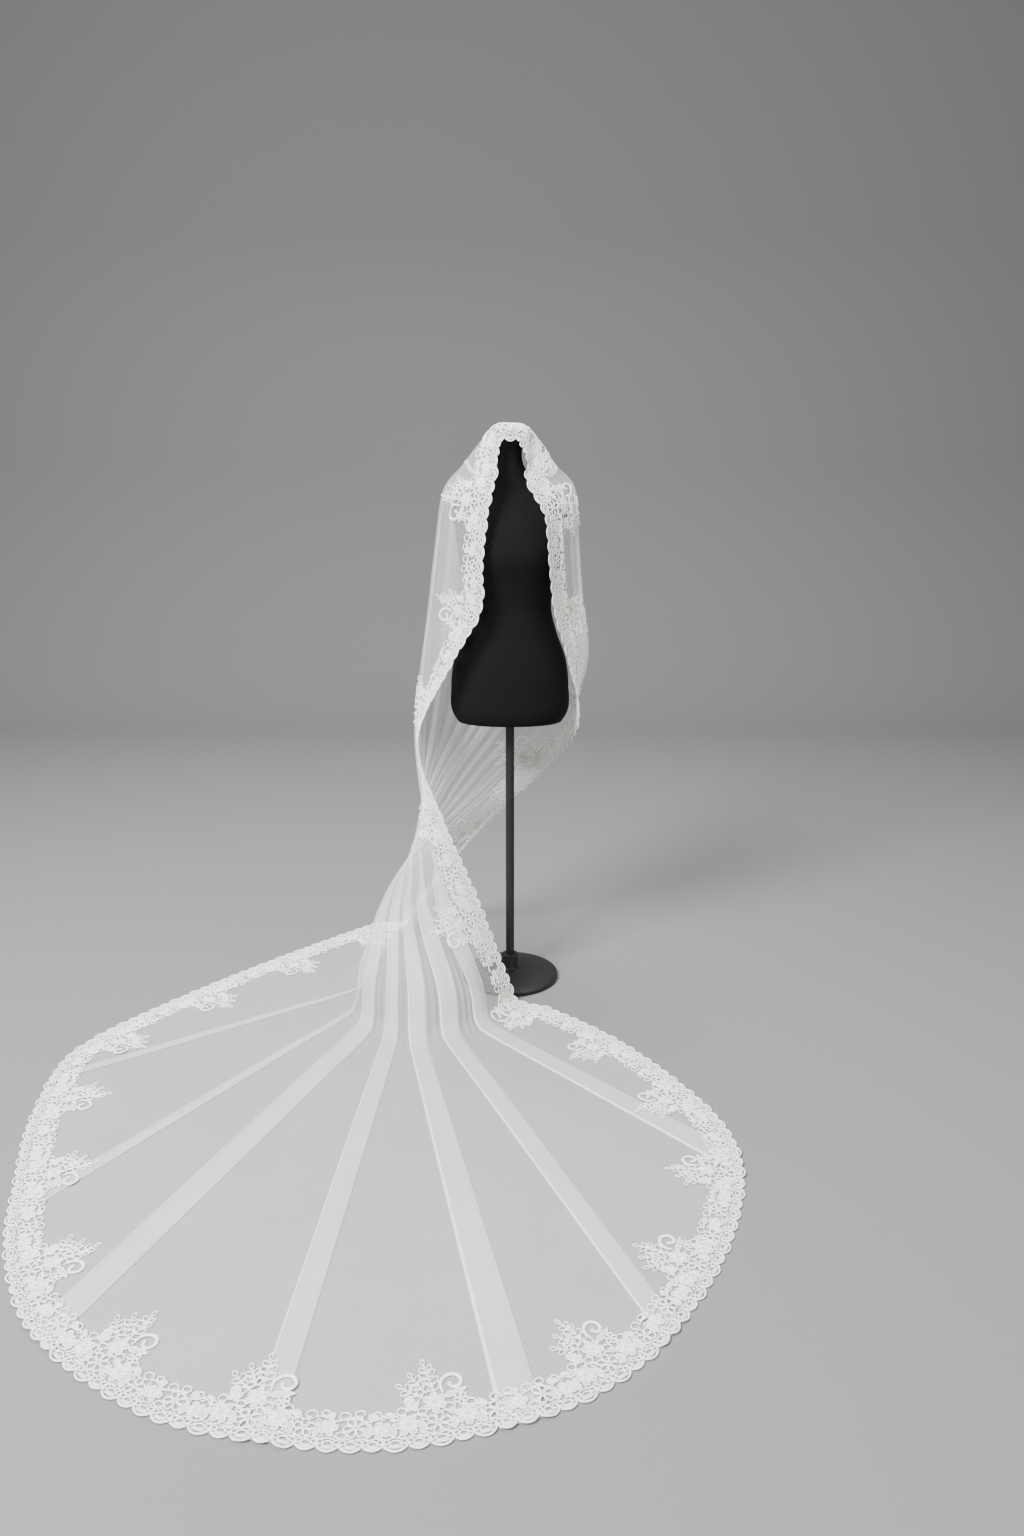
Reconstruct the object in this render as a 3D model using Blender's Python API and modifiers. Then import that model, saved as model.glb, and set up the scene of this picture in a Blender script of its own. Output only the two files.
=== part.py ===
"""Bridal veil on a dress form: a lace-edged cathedral veil of tulle over a limbless form on a stand.

Metres, +Z up. The origin is the middle of the stand's underside, on the floor. -Y is the form's front.
The veil's sheet is worked out on two coordinates: `across`, from -1 at one free edge, round the form's back,
to +1 at the other, and `along`, from 0 at the front edge, by 1 for each row of DRAPE, down to the floor line,
and then by 1 for each STRIDE over the floor.
"""

import bpy
import numpy as np

# Cloth
TULLE_WALL = 0.0010
LACE_WALL = 0.0010
LACE_CLEAR = 0.0004
LACE_CLEAR_HUNG = 0.0028
LAYER_PITCH = 0.0040
STRIDE = 0.25

# The drape: where the sheet passes, row by row. In each row its first edge, one side, its middle, the other
# side and its last edge, as x, y, z.
ACROSS_KNOTS = (-1.0, -0.5, 0.0, 0.5, 1.0)
DRAPE = (
    # first edge, one side, middle, other side, last edge
    ((-0.0275, -0.0662, 1.5480), (-0.0240, -0.0635, 1.5665), (0.0000, -0.0635, 1.5700),
     (0.0255, -0.0635, 1.5665), (0.0350, -0.0660, 1.5480)),
    ((-0.0325, -0.0675, 1.5300), (-0.0340, -0.0470, 1.5940), (0.0000, -0.0500, 1.5985),
     (0.0430, -0.0460, 1.5910), (0.0430, -0.0675, 1.5310)),
    ((-0.0335, -0.0725, 1.5120), (-0.0460, -0.0250, 1.6010), (0.0000, -0.0280, 1.6045),
     (0.0520, -0.0250, 1.5980), (0.0460, -0.0730, 1.5060)),
    ((-0.0340, -0.0800, 1.4900), (-0.0820, -0.0100, 1.5600), (0.0000, 0.0360, 1.6020),
     (0.0820, -0.0100, 1.5600), (0.0410, -0.0830, 1.4750)),
    ((-0.0440, -0.0970, 1.4450), (-0.1300, 0.0000, 1.5020), (0.0000, 0.0900, 1.5450),
     (0.1280, 0.0000, 1.5020), (0.0640, -0.1000, 1.4250)),
    ((-0.0580, -0.1160, 1.3800), (-0.1780, 0.0080, 1.4400), (0.0000, 0.1280, 1.4550),
     (0.1740, 0.0080, 1.4400), (0.0940, -0.1160, 1.3700)),
    ((-0.0720, -0.1320, 1.2550), (-0.2030, 0.0150, 1.2850), (-0.0040, 0.1500, 1.3000),
     (0.1820, 0.0150, 1.2850), (0.1040, -0.1300, 1.2550)),
    ((-0.0780, -0.1300, 1.1250), (-0.2240, 0.0200, 1.1300), (-0.0100, 0.1650, 1.1300),
     (0.1940, 0.0200, 1.1300), (0.1200, -0.1180, 1.1200)),
    ((-0.1550, -0.1240, 0.9850), (-0.2410, 0.0300, 0.9700), (-0.0200, 0.1850, 0.9600),
     (0.2030, 0.0300, 0.9700), (0.1600, -0.0900, 0.9800)),
    ((-0.2550, -0.0900, 0.7600), (-0.2570, 0.0500, 0.7600), (-0.1000, 0.2000, 0.7600),
     (0.1300, 0.1600, 0.7700), (0.1900, -0.0050, 0.7800)),
    ((-0.1850, -0.1350, 0.5400), (-0.2450, -0.0400, 0.5500), (-0.2250, 0.1300, 0.5500),
     (-0.0500, 0.2300, 0.5600), (0.0700, 0.2000, 0.5700)),
    ((-0.0970, -0.1550, 0.3200), (-0.2150, -0.1650, 0.3100), (-0.3150, -0.0700, 0.3000),
     (-0.3300, 0.0700, 0.3100), (-0.1300, 0.3000, 0.3300)),
    ((-0.0100, -0.1720, 0.0800), (-0.1300, -0.2800, 0.1100), (-0.3050, -0.2900, 0.1100),
     (-0.4300, -0.0900, 0.1100), (-0.2900, 0.3700, 0.1000)),
    ((0.0450, -0.1900, 0.0000), (-0.1000, -0.3600, 0.0000), (-0.3000, -0.4000, 0.0000),
     (-0.4550, -0.2000, 0.0000), (-0.3700, 0.4100, 0.0000)),
)
FLOOR_LINE = len(DRAPE) - 1

# The train's outer edge on the floor, from the first edge round to the last: across, x, y.
HEM = (
    (-1.00, 0.118, -0.215),
    (-0.90, 0.285, -0.395),
    (-0.80, 0.415, -0.596),
    (-0.72, 0.490, -0.760),
    (-0.62, 0.512, -0.940),
    (-0.49, 0.435, -1.200),
    (-0.36, 0.290, -1.432),
    (-0.25, 0.170, -1.545),
    (-0.14, 0.030, -1.615),
    (-0.04, -0.180, -1.665),
    (0.06, -0.390, -1.652),
    (0.165, -0.600, -1.595),
    (0.27, -0.827, -1.445),
    (0.385, -0.970, -1.250),
    (0.50, -1.058, -1.020),
    (0.56, -1.125, -0.800),
    (0.62, -1.160, -0.560),
    (0.70, -1.130, -0.400),
    (0.80, -0.960, -0.150),
    (0.90, -0.740, 0.110),
    (1.00, -0.480, 0.380),
)

# The pressed pleats: where each lies across, and its width at the floor line and at the hem.
PLEATS = (
    (-0.62, 0.045, 0.058),
    (-0.36, 0.046, 0.042),
    (-0.14, 0.044, 0.066),
    (0.06, 0.044, 0.048),
    (0.27, 0.060, 0.062),
    (0.46, 0.030, 0.040),
    (0.61, 0.026, 0.036),
)
# One pleat in section: its place across in pleat widths, and its height in layers, from fold to fold.
PLEAT_SECTION = (
    (-0.50, 0.0),
    (0.46, 0.0),
    (0.50, 0.5),
    (0.46, 1.0),
    (-0.46, 1.0),
    (-0.50, 1.5),
    (-0.46, 2.0),
    (0.50, 2.0),
    (0.90, 0.0),
)
PLEAT_OPEN_WIDTH = 0.06
PLEAT_LIFT_ROWS = (9.2, 10.2)
PLEAT_FOLD_ROWS = (10.0, 11.4)
SOFT_FOLD_DEPTH = 0.009
SOFT_FOLD_ROWS = (4.0, 6.0, 10.0, 11.5)
PANEL_COLUMNS = (6, 2, 2, 2, 2, 2, 1, 6)
HUNG_ROWS = (0.0, 0.5, 1.0, 1.5, 2.0, 3.0, 4.0, 5.0, 6.0, 7.0, 8.0, 9.0, 9.7, 10.4, 11.0, 11.5, 12.0, 12.5, 13.0)
TRAIN_ROWS = (0.15, 0.5, 1.0)

# Lace: its lines inward from the sheet's edge, and its repeats
LACE_REPEATS = 28
REPEAT_COLUMNS = 10
SCALLOP_DEPTH = 0.006
LACE_RIM = 0.017
LACE_GAP_END = 0.045
LACE_WIDTH = 0.068
LACE_WAVE = 0.004
BOUQUET_REACH = 0.092
# One bouquet's outline, as a share of its reach, on the column lines from FIRST_BOUQUET_LINE of each repeat
FIRST_BOUQUET_LINE = 1
BOUQUET = (0.20, 0.46, 0.34, 0.70, 1.00, 0.66, 0.38, 0.50, 0.18)
LACE_GAP_COLUMNS = (0, 2, 4, 6, 8)
BOUQUET_GAP_COLUMNS = (3, 6)
EDGE_SAMPLES = 1600
INSET_STEP = 0.004
INSET_REACH = LACE_WIDTH + LACE_WAVE + BOUQUET_REACH
COVER_MARGIN = 0.046
COVER_SLOPE = 0.030
SAG_SHARE = 0.52
SAG_MOST, SAG_MOST_ON_HOOD = 0.0145, 0.0095
HOOD_ROWS = 3.0

# Dress form: height, half width, half depth and the section's middle along Y
TORSO = (
    (0.800, 0.150, 0.105, 0.010),
    (0.815, 0.160, 0.112, 0.010),
    (0.900, 0.168, 0.116, 0.008),
    (0.980, 0.158, 0.106, 0.004),
    (1.060, 0.130, 0.090, 0.000),
    (1.125, 0.116, 0.082, -0.002),
    (1.190, 0.126, 0.092, -0.004),
    (1.265, 0.142, 0.108, -0.010),
    (1.330, 0.150, 0.098, -0.004),
    (1.385, 0.158, 0.080, 0.004),
    (1.415, 0.150, 0.066, 0.008),
    (1.440, 0.112, 0.054, 0.008),
    (1.465, 0.066, 0.047, 0.004),
    (1.500, 0.041, 0.041, 0.002),
    (1.588, 0.037, 0.037, 0.000),
)
TORSO_SIDES = 24
SECTION_SQUARENESS = 2.3
CAP_RADIUS = 0.038
CAP_HIGH = 0.008
GAP = 0.0003
POLE_RADIUS = 0.0125
BASE_RADIUS = 0.145
BASE_EDGE = 0.014
BASE_DOME = 0.030
BASE_COLLAR_RADIUS = 0.024
BASE_COLLAR_HEIGHT = 0.075
ROUND_SIDES = 32


def smooth(values):
    """0 below 0, 1 above 1, and an S curve between."""
    values = np.clip(values, 0.0, 1.0)
    return values * values * (3.0 - 2.0 * values)


def curve_through(knots, values, at, last_slope=None):
    """A cubic curve through values[k] at knots[k], whose slope at each knot is the mean of its two spans'.
    values is (knots, points, 3) or (knots, 1, 3), and at has one place for each point."""
    knots = np.asarray(knots, float)
    values = np.broadcast_to(values, (len(knots), len(at), np.shape(values)[-1]))
    spans = np.diff(knots)[:, None, None]
    rises = np.diff(values, axis=0) / spans
    inner = (rises[:-1] * spans[1:] + rises[1:] * spans[:-1]) / (spans[:-1] + spans[1:])
    slopes = np.concatenate([rises[:1], inner, rises[-1:]])
    span = np.clip(np.searchsorted(knots, at, side="right") - 1, 0, len(knots) - 2)
    point = np.arange(len(at))
    width = np.diff(knots)[span][:, None]
    share = (at[:, None] - knots[span][:, None]) / width
    start, end = values[span, point], values[span + 1, point]
    leave, arrive = slopes[span, point] * width, slopes[span + 1, point] * width
    if last_slope is not None:
        arrive = np.where((span == len(knots) - 2)[:, None], last_slope * width, arrive)
    return (
        start * (1 + 2 * share) * (1 - share) ** 2
        + end * share**2 * (3 - 2 * share)
        + leave * share * (1 - share) ** 2
        - arrive * share**2 * (1 - share)
    )


def hem_point(across):
    table = np.array(HEM)
    flat = curve_through(table[:, 0], table[:, None, 1:], across)
    return np.column_stack([flat, np.zeros(len(across))])


def rays(across):
    """Where the sheet meets the floor, the unit direction in which it runs out from there, and how far."""
    foot = curve_through(ACROSS_KNOTS, np.array(DRAPE[-1])[:, None], across)
    run = hem_point(across) - foot
    length = np.linalg.norm(run, axis=1)
    return foot, run / length[:, None], length


def sheet(across, along):
    """The sheet's underside with no folds: the rows of DRAPE joined smoothly, and then straight over the floor."""
    rows = [curve_through(ACROSS_KNOTS, np.array(row)[:, None], across) for row in DRAPE]
    foot, direction, _ = rays(across)
    rows.append(foot + direction * STRIDE)
    knots = np.arange(len(rows), dtype=float)
    hung = curve_through(knots, np.array(rows), np.minimum(along, knots[-1]), direction * STRIDE)
    beyond = np.maximum(along - knots[-1], 0.0)[:, None] * direction * STRIDE
    points = hung + beyond
    points[:, 2] = np.where(along > FLOOR_LINE, 0.0, np.maximum(points[:, 2], 0.0))
    return points


def hem_along(across):
    return FLOOR_LINE + rays(across)[2] / STRIDE


def width_across(across, along):
    """Metres of sheet for one unit of across."""
    step = 0.01
    return np.linalg.norm(sheet(across + step, along) - sheet(across - step, along), axis=1) / (2 * step)


def row_factors(along):
    """How far a pleat is raised and folded at a place along the sheet, and how deep its soft fold is above that."""
    raised = smooth((along - PLEAT_LIFT_ROWS[0]) / (PLEAT_LIFT_ROWS[1] - PLEAT_LIFT_ROWS[0]))
    folded = smooth((along - PLEAT_FOLD_ROWS[0]) / (PLEAT_FOLD_ROWS[1] - PLEAT_FOLD_ROWS[0]))
    start, full, fade, end = SOFT_FOLD_ROWS
    soft = smooth((along - start) / (full - start)) * smooth((end - along) / (end - fade))
    return raised, folded, soft


def tulle_columns():
    """The across place and the rise of every column of the tulle in every row, as (columns, rows) arrays.
    A pleat's columns fold back over themselves on the train and lie open on the shoulders."""
    row_along = np.array(HUNG_ROWS + tuple(FLOOR_LINE + share for share in TRAIN_ROWS))
    row_share = np.array((0.0,) * len(HUNG_ROWS) + TRAIN_ROWS)
    on_train = row_share > 0
    raised, folded, soft = row_factors(row_along)
    section = np.array(PLEAT_SECTION)
    opened = np.linspace(-0.5, 0.5, len(section))
    across, rise = [], []
    last = np.full(len(row_along), -1.0)
    for number, (place, foot_width, hem_width) in enumerate(PLEATS):
        at = np.full(len(row_along), place)
        along = np.where(on_train, FLOOR_LINE + row_share * (hem_along(at) - FLOOR_LINE), row_along)
        width = (foot_width + (hem_width - foot_width) * row_share) / width_across(at, along)
        columns = place + (
            np.outer(opened, 1 - folded) * PLEAT_OPEN_WIDTH + np.outer(section[:, 0], folded) * width
        )
        lift = np.outer(section[:, 1], raised) * LAYER_PITCH
        lift += np.outer(np.sin(np.pi * (opened + 0.5)) ** 2, soft) * SOFT_FOLD_DEPTH
        shares = np.linspace(0, 1, PANEL_COLUMNS[number] + 2)[(0 if number == 0 else 1) : -1]
        across.append(last + np.outer(shares, np.ones(len(last))) * (columns[0] - last))
        rise.append(np.zeros((len(shares), len(last))))
        across.append(columns)
        rise.append(lift)
        last = columns[-1]
    shares = np.linspace(0, 1, PANEL_COLUMNS[-1] + 2)[1:]
    across.append(last + np.outer(shares, np.ones(len(last))) * (1.0 - last))
    rise.append(np.zeros((len(shares), len(last))))
    across, rise = np.concatenate(across), np.concatenate(rise)
    hem = hem_along(across.ravel()).reshape(across.shape)
    along = np.where(on_train, FLOOR_LINE + row_share * (hem - FLOOR_LINE), row_along)
    return across, along, rise


def slopes(across, along, step):
    """How far the unfolded sheet goes for one unit across and for one unit along."""
    before = np.maximum(along - step, 0.0)
    crosswise = (sheet(across + step, along) - sheet(across - step, along)) / (2 * step)
    return crosswise, (sheet(across, along + step) - sheet(across, before)) / (along + step - before)[:, None]


def raised_side(across, along):
    """Unit normals of the unfolded sheet, away from the form and up from the floor."""
    normals = np.cross(*slopes(across, along, 0.02))
    return normals / np.maximum(np.linalg.norm(normals, axis=1, keepdims=True), 1e-12)


def tulle_grid():
    """The tulle's underside as a grid of points."""
    across, along, rise = tulle_columns()
    points = sheet(across.ravel(), along.ravel())
    points += raised_side(across.ravel(), along.ravel()) * rise.reshape(-1, 1)
    return points.reshape(across.shape + (3,))


def edge():
    """The sheet's edge as places across and along: down the first edge, round the hem, up the last edge and
    over the front, evenly spaced along the middle of the lace."""
    share = np.linspace(0, 1, EDGE_SAMPLES // 4, endpoint=False)
    one = np.ones(len(share))
    round_hem = -1 + 2 * share
    low_first, low_last = hem_along(np.array([-1.0, 1.0]))
    across = np.concatenate([-one, round_hem, one, 1 - 2 * share, [-1.0]])
    along = np.concatenate([share * low_first, hem_along(round_hem), (1 - share) * low_last, 0 * share, [0.0]])
    inner = inset_paths(across, along)[0][round(LACE_WIDTH / INSET_STEP)]
    steps = np.linalg.norm(np.diff(sheet(across, along), axis=0), axis=1)
    inner_steps = np.linalg.norm(np.diff(sheet(inner[:, 0], inner[:, 1]), axis=0), axis=1)
    distance = np.concatenate([[0.0], np.cumsum((steps + inner_steps) / 2)])
    even = np.linspace(0, distance[-1], LACE_REPEATS * REPEAT_COLUMNS, endpoint=False)
    return np.interp(even, distance, across), np.interp(even, distance, along)


def inset_paths(across, along):
    """Paths from each point of the edge into the sheet, square to the edge and as straight as the sheet lets them
    be, as places across and along after each INSET_STEP: (steps, points, 2). Also their first directions."""
    step = 0.01
    points = sheet(across, along)
    tangent = np.roll(points, -1, axis=0) - np.roll(points, 1, axis=0)
    place = np.column_stack([across, along])
    paths = [place]
    heading = start = None
    while len(paths) * INSET_STEP < INSET_REACH + 2 * INSET_STEP:
        crosswise, lengthwise = slopes(place[:, 0], place[:, 1], step)
        up = np.cross(crosswise, lengthwise)
        up /= np.linalg.norm(up, axis=1, keepdims=True)
        heading = np.cross(tangent, up) if heading is None else heading - up * (heading * up).sum(axis=1)[:, None]
        heading /= np.linalg.norm(heading, axis=1, keepdims=True)
        start = heading if start is None else start
        cc, cl = (crosswise * crosswise).sum(axis=1) + 1e-6, (crosswise * lengthwise).sum(axis=1)
        ll = (lengthwise * lengthwise).sum(axis=1) + 1e-6
        c_in, l_in = (crosswise * heading).sum(axis=1), (lengthwise * heading).sum(axis=1)
        area = cc * ll - cl * cl
        move = np.column_stack([(c_in * ll - l_in * cl) / area, (l_in * cc - c_in * cl) / area]) * INSET_STEP
        for _ in range(4):
            ahead = np.clip(place + move, (-1.0, 0.0), (1.0, np.inf))
            gone = np.linalg.norm(sheet(ahead[:, 0], ahead[:, 1]) - points, axis=1)
            move *= np.clip(INSET_STEP / np.maximum(gone, 1e-9), 0.3, 2.0)[:, None]
        place = np.clip(place + move, (-1.0, 0.0), (1.0, np.inf))
        points = sheet(place[:, 0], place[:, 1])
        paths.append(place)
    return np.array(paths), start


def along_paths(paths, insets):
    """The places at these insets from the edge, one row of insets after another: (rows, points, 2)."""
    position = insets / INSET_STEP
    first = np.clip(np.floor(position).astype(int), 0, len(paths) - 2)
    share = (position - first)[..., None]
    column = np.arange(paths.shape[1])
    return paths[first, column] * (1 - share) + paths[first + 1, column] * share


def pleat_cover(across, along):
    """The height of the folded layers under the lace: flat over each pleat, and falling off to its sides."""
    height = np.zeros(len(across))
    share = np.clip((along - FLOOR_LINE) / np.maximum(hem_along(across) - FLOOR_LINE, 1e-6), 0, 1)
    raised, folded, soft = row_factors(along)
    for place, foot_width, hem_width in PLEATS:
        half_width = (foot_width + (hem_width - foot_width) * share) / 2
        aside = np.abs(across - place) * width_across(np.full(len(along), place), along)
        layers = smooth((half_width + COVER_MARGIN + COVER_SLOPE - aside) / COVER_SLOPE)
        height = np.maximum(height, 2 * LAYER_PITCH * raised * layers)
        opened = np.clip((across - place) / PLEAT_OPEN_WIDTH, -0.5, 0.5)
        height += SOFT_FOLD_DEPTH * soft * np.cos(np.pi * opened) ** 2
    return height


def facet_sag(points, normals):
    """How far flat facets between these points may dip under the sheet: a share of each facet's length times its
    turn, the largest of the facets round each point."""
    sag = np.zeros(points.shape[:2])
    for _ in range(2):
        widest = sag.copy()
        for axis in (0, 1):
            for step in (1, -1):
                apart = np.linalg.norm(points - np.roll(points, step, axis), axis=2)
                turn = np.linalg.norm(normals - np.roll(normals, step, axis), axis=2)
                near = SAG_SHARE * apart * turn
                if axis == 0:
                    near[0 if step == 1 else -1] = 0.0
                widest = np.maximum(widest, near)
        sag = widest
        spread = [np.roll(sag, step, axis=1) for step in (1, -1)]
        up, down = np.vstack([sag[:1], sag[:-1]]), np.vstack([sag[1:], sag[-1:]])
        sag = np.maximum.reduce([sag, *spread, up, down])
    return sag


def lace():
    """The lace border as a closed wall of cells, with its gaps left out, lying on the tulle."""
    across, along = edge()
    paths, start = inset_paths(across, along)
    columns = len(across)
    line = np.arange(columns) % REPEAT_COLUMNS
    reach = np.array([0.0] * REPEAT_COLUMNS)
    last_line = FIRST_BOUQUET_LINE + len(BOUQUET)
    reach[FIRST_BOUQUET_LINE:last_line] = BOUQUET
    reach = BOUQUET_REACH * reach[line]
    odd = line % 2
    inner = LACE_WIDTH + LACE_WAVE * odd
    insets = np.array(
        [np.zeros(columns), np.full(columns, LACE_RIM), np.full(columns, LACE_GAP_END),
         inner, inner + reach / 2, inner + reach]
    )
    spot = along_paths(paths, insets)
    flat_across, flat_along = spot[..., 0].ravel(), spot[..., 1].ravel()
    hung = smooth(FLOOR_LINE + 1.0 - flat_along)
    points, normals = sheet(flat_across, flat_along), raised_side(flat_across, flat_along)
    bowed = facet_sag(points.reshape(insets.shape + (3,)), normals.reshape(insets.shape + (3,))).ravel()
    most = np.where(flat_along < HOOD_ROWS, SAG_MOST_ON_HOOD, SAG_MOST)
    clear = LACE_CLEAR + (LACE_CLEAR_HUNG - LACE_CLEAR) * hung + np.minimum(bowed, most)
    below = TULLE_WALL + clear + pleat_cover(flat_across, flat_along)
    points[:columns] -= start * (SCALLOP_DEPTH * (1 - odd))[:, None]
    lower, upper = points + normals * below[:, None], points + normals * (below + LACE_WALL)[:, None]

    cells = np.ones((len(insets) - 1, columns), bool)
    cells[1] = ~np.isin(line, LACE_GAP_COLUMNS)
    in_bouquet = (line >= FIRST_BOUQUET_LINE) & (line < last_line - 1)
    cells[3] = in_bouquet & ~np.isin(line, BOUQUET_GAP_COLUMNS)
    cells[4] = in_bouquet
    return walled(np.concatenate([lower, upper]), cells, columns)


def walled(points, cells, columns):
    """Faces of a closed wall over the cells that are kept, on a grid that runs round in a loop."""
    band, start = np.nonzero(cells)
    end = (start + 1) % columns
    corners = np.column_stack([band * columns + start, band * columns + end,
                               (band + 1) * columns + end, (band + 1) * columns + start])
    over = len(points) // 2
    sides = np.concatenate([corners[:, [i, (i + 1) % 4]] for i in range(4)])
    ids = sides[:, 0] * over + sides[:, 1]
    back = sides[:, 1] * over + sides[:, 0]
    open_sides = sides[~np.isin(ids, back)]
    a, b = open_sides[:, 0], open_sides[:, 1]
    lower = np.concatenate([corners[:, [0, 1, 2]], corners[:, [0, 2, 3]]])
    walls = np.concatenate([np.column_stack([a, b + over, b]), np.column_stack([a, a + over, b + over])])
    faces = np.concatenate([lower, lower[:, ::-1] + over, walls])
    used, index = np.unique(faces, return_inverse=True)
    return points[used], index.reshape(faces.shape)


def outward(grid):
    """Unit normals of the folded grid of points, on its upper and outer side."""
    normals = np.cross(np.gradient(grid, axis=0), np.gradient(grid, axis=1))
    return normals / np.maximum(np.linalg.norm(normals, axis=2, keepdims=True), 1e-12)


def slab(grid, normals, wall):
    """A closed wall from a grid of points: the grid itself below, and the grid moved out by the wall above."""
    columns, rows = grid.shape[:2]
    below = grid.reshape(-1, 3)
    above = (grid + normals * wall).reshape(-1, 3)
    index = np.arange(columns * rows).reshape(columns, rows)
    a, b = index[:-1, :-1].ravel(), index[1:, :-1].ravel()
    c, d = index[1:, 1:].ravel(), index[:-1, 1:].ravel()
    lower = np.concatenate([np.column_stack([a, c, b]), np.column_stack([a, d, c])])
    ring = np.concatenate([index[0, :-1], index[:-1, -1], index[-1, :0:-1], index[:0:-1, 0]])
    after = np.roll(ring, -1)
    over = columns * rows
    walls = np.concatenate(
        [np.column_stack([ring, after + over, after]), np.column_stack([ring, ring + over, after + over])]
    )
    faces = np.concatenate([lower, lower[:, ::-1] + over, walls])
    return np.concatenate([below, above]), faces


def new_object(name, points, faces, material, collection):
    mesh = bpy.data.meshes.new(name)
    mesh.from_pydata([tuple(p) for p in points], [], [tuple(int(i) for i in f) for f in faces])
    mesh.update()
    mesh.materials.append(material)
    obj = bpy.data.objects.new(name, mesh)
    collection.objects.link(obj)
    return obj


def new_material(name, color, roughness, metallic=0.0, alpha=1.0):
    material = bpy.data.materials.new(name)
    material.use_nodes = True
    shader = material.node_tree.nodes["Principled BSDF"]
    shader.inputs["Base Color"].default_value = (*color, 1.0)
    shader.inputs["Roughness"].default_value = roughness
    shader.inputs["Metallic"].default_value = metallic
    shader.inputs["Alpha"].default_value = alpha
    return material


def turned(name, profile, material, collection):
    """A solid turned about Z from (radius, height) pairs, listed from the top down its outer side."""
    mesh = bpy.data.meshes.new(name)
    points = [(radius, 0.0, height) for radius, height in profile]
    mesh.from_pydata(points, [(i, i + 1) for i in range(len(points) - 1)], [])
    mesh.materials.append(material)
    obj = bpy.data.objects.new(name, mesh)
    collection.objects.link(obj)
    screw = obj.modifiers.new("turn", "SCREW")
    screw.steps = screw.render_steps = ROUND_SIDES
    screw.use_merge_vertices = True
    screw.merge_threshold = 0.0001
    return obj


def torso(material, collection):
    """The form from hips to neck: a loft of rounded sections, closed by a flat face at each end."""
    angles = np.linspace(0, 2 * np.pi, TORSO_SIDES, endpoint=False)
    power = 2.0 / SECTION_SQUARENESS
    side = np.sign(np.cos(angles)) * np.abs(np.cos(angles)) ** power
    front = np.sign(np.sin(angles)) * np.abs(np.sin(angles)) ** power
    rings = [
        np.column_stack([half_width * side, middle + half_depth * front, np.full(TORSO_SIDES, height)])
        for height, half_width, half_depth, middle in TORSO
    ]
    faces = []
    for ring in range(len(TORSO) - 1):
        for i in range(TORSO_SIDES):
            j = (i + 1) % TORSO_SIDES
            low, high = ring * TORSO_SIDES, (ring + 1) * TORSO_SIDES
            faces.append((low + i, low + j, high + j, high + i))
    faces.append(tuple(range(TORSO_SIDES))[::-1])
    faces.append(tuple(range((len(TORSO) - 1) * TORSO_SIDES, len(TORSO) * TORSO_SIDES)))
    mesh = bpy.data.meshes.new("form_torso")
    mesh.from_pydata([tuple(p) for p in np.concatenate(rings)], [], faces)
    mesh.materials.append(material)
    mesh.shade_smooth()
    mesh.set_sharp_from_angle(angle=np.radians(40))
    obj = bpy.data.objects.new("form_torso", mesh)
    collection.objects.link(obj)
    return obj


def main():
    for obj in list(bpy.data.objects):
        bpy.data.objects.remove(obj)
    parts = bpy.data.collections.new("bridal_veil")
    bpy.context.scene.collection.children.link(parts)

    net = new_material("tulle", (0.93, 0.93, 0.91), 0.7, alpha=0.45)
    thread = new_material("lace", (0.90, 0.88, 0.84), 0.75)
    black_cloth = new_material("form_cover", (0.012, 0.012, 0.012), 0.85)
    black_metal = new_material("stand", (0.02, 0.02, 0.022), 0.4, metallic=0.9)

    grid = tulle_grid()
    new_object("veil_tulle", *slab(grid, outward(grid), TULLE_WALL), net, parts)
    new_object("veil_lace_border", *lace(), thread, parts)

    torso(black_cloth, parts)
    top = TORSO[-1][0]
    turned(
        "form_neck_cap",
        ((0.0, top + CAP_HIGH), (CAP_RADIUS - 0.003, top + CAP_HIGH), (CAP_RADIUS, top + CAP_HIGH - 0.003),
         (CAP_RADIUS, top + GAP), (0.0, top + GAP)),
        black_metal,
        parts,
    )
    turned(
        "form_pole",
        ((0.0, TORSO[0][0] - GAP), (POLE_RADIUS, TORSO[0][0] - GAP),
         (POLE_RADIUS, BASE_COLLAR_HEIGHT + GAP), (0.0, BASE_COLLAR_HEIGHT + GAP)),
        black_metal,
        parts,
    )
    turned(
        "form_base",
        ((0.0, BASE_COLLAR_HEIGHT), (BASE_COLLAR_RADIUS, BASE_COLLAR_HEIGHT), (BASE_COLLAR_RADIUS, BASE_DOME + 0.004),
         (BASE_COLLAR_RADIUS + 0.012, BASE_DOME - 0.002), (BASE_RADIUS * 0.6, BASE_DOME * 0.75),
         (BASE_RADIUS - 0.004, BASE_EDGE), (BASE_RADIUS, BASE_EDGE - 0.004), (BASE_RADIUS, 0.0), (0.0, 0.0)),
        black_metal,
        parts,
    )


main()
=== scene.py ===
"""Looks of the bridal veil on its dress form: the net, the corded lace border, the form and the stand.

Metres, +Z up, the form's front towards -Y. The veil's sheet uses two coordinates: `across`, from -1 at one free
edge, round the form's back, to +1 at the other, and `along`, from 0 at the front edge, by 1 for each row of DRAPE,
down to the floor line, and then by 1 for each STRIDE over the floor. The lace is drawn on a flat pattern,
millimetres along the edge by millimetres in from it, and then laid on the sheet.
"""

import math

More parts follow.
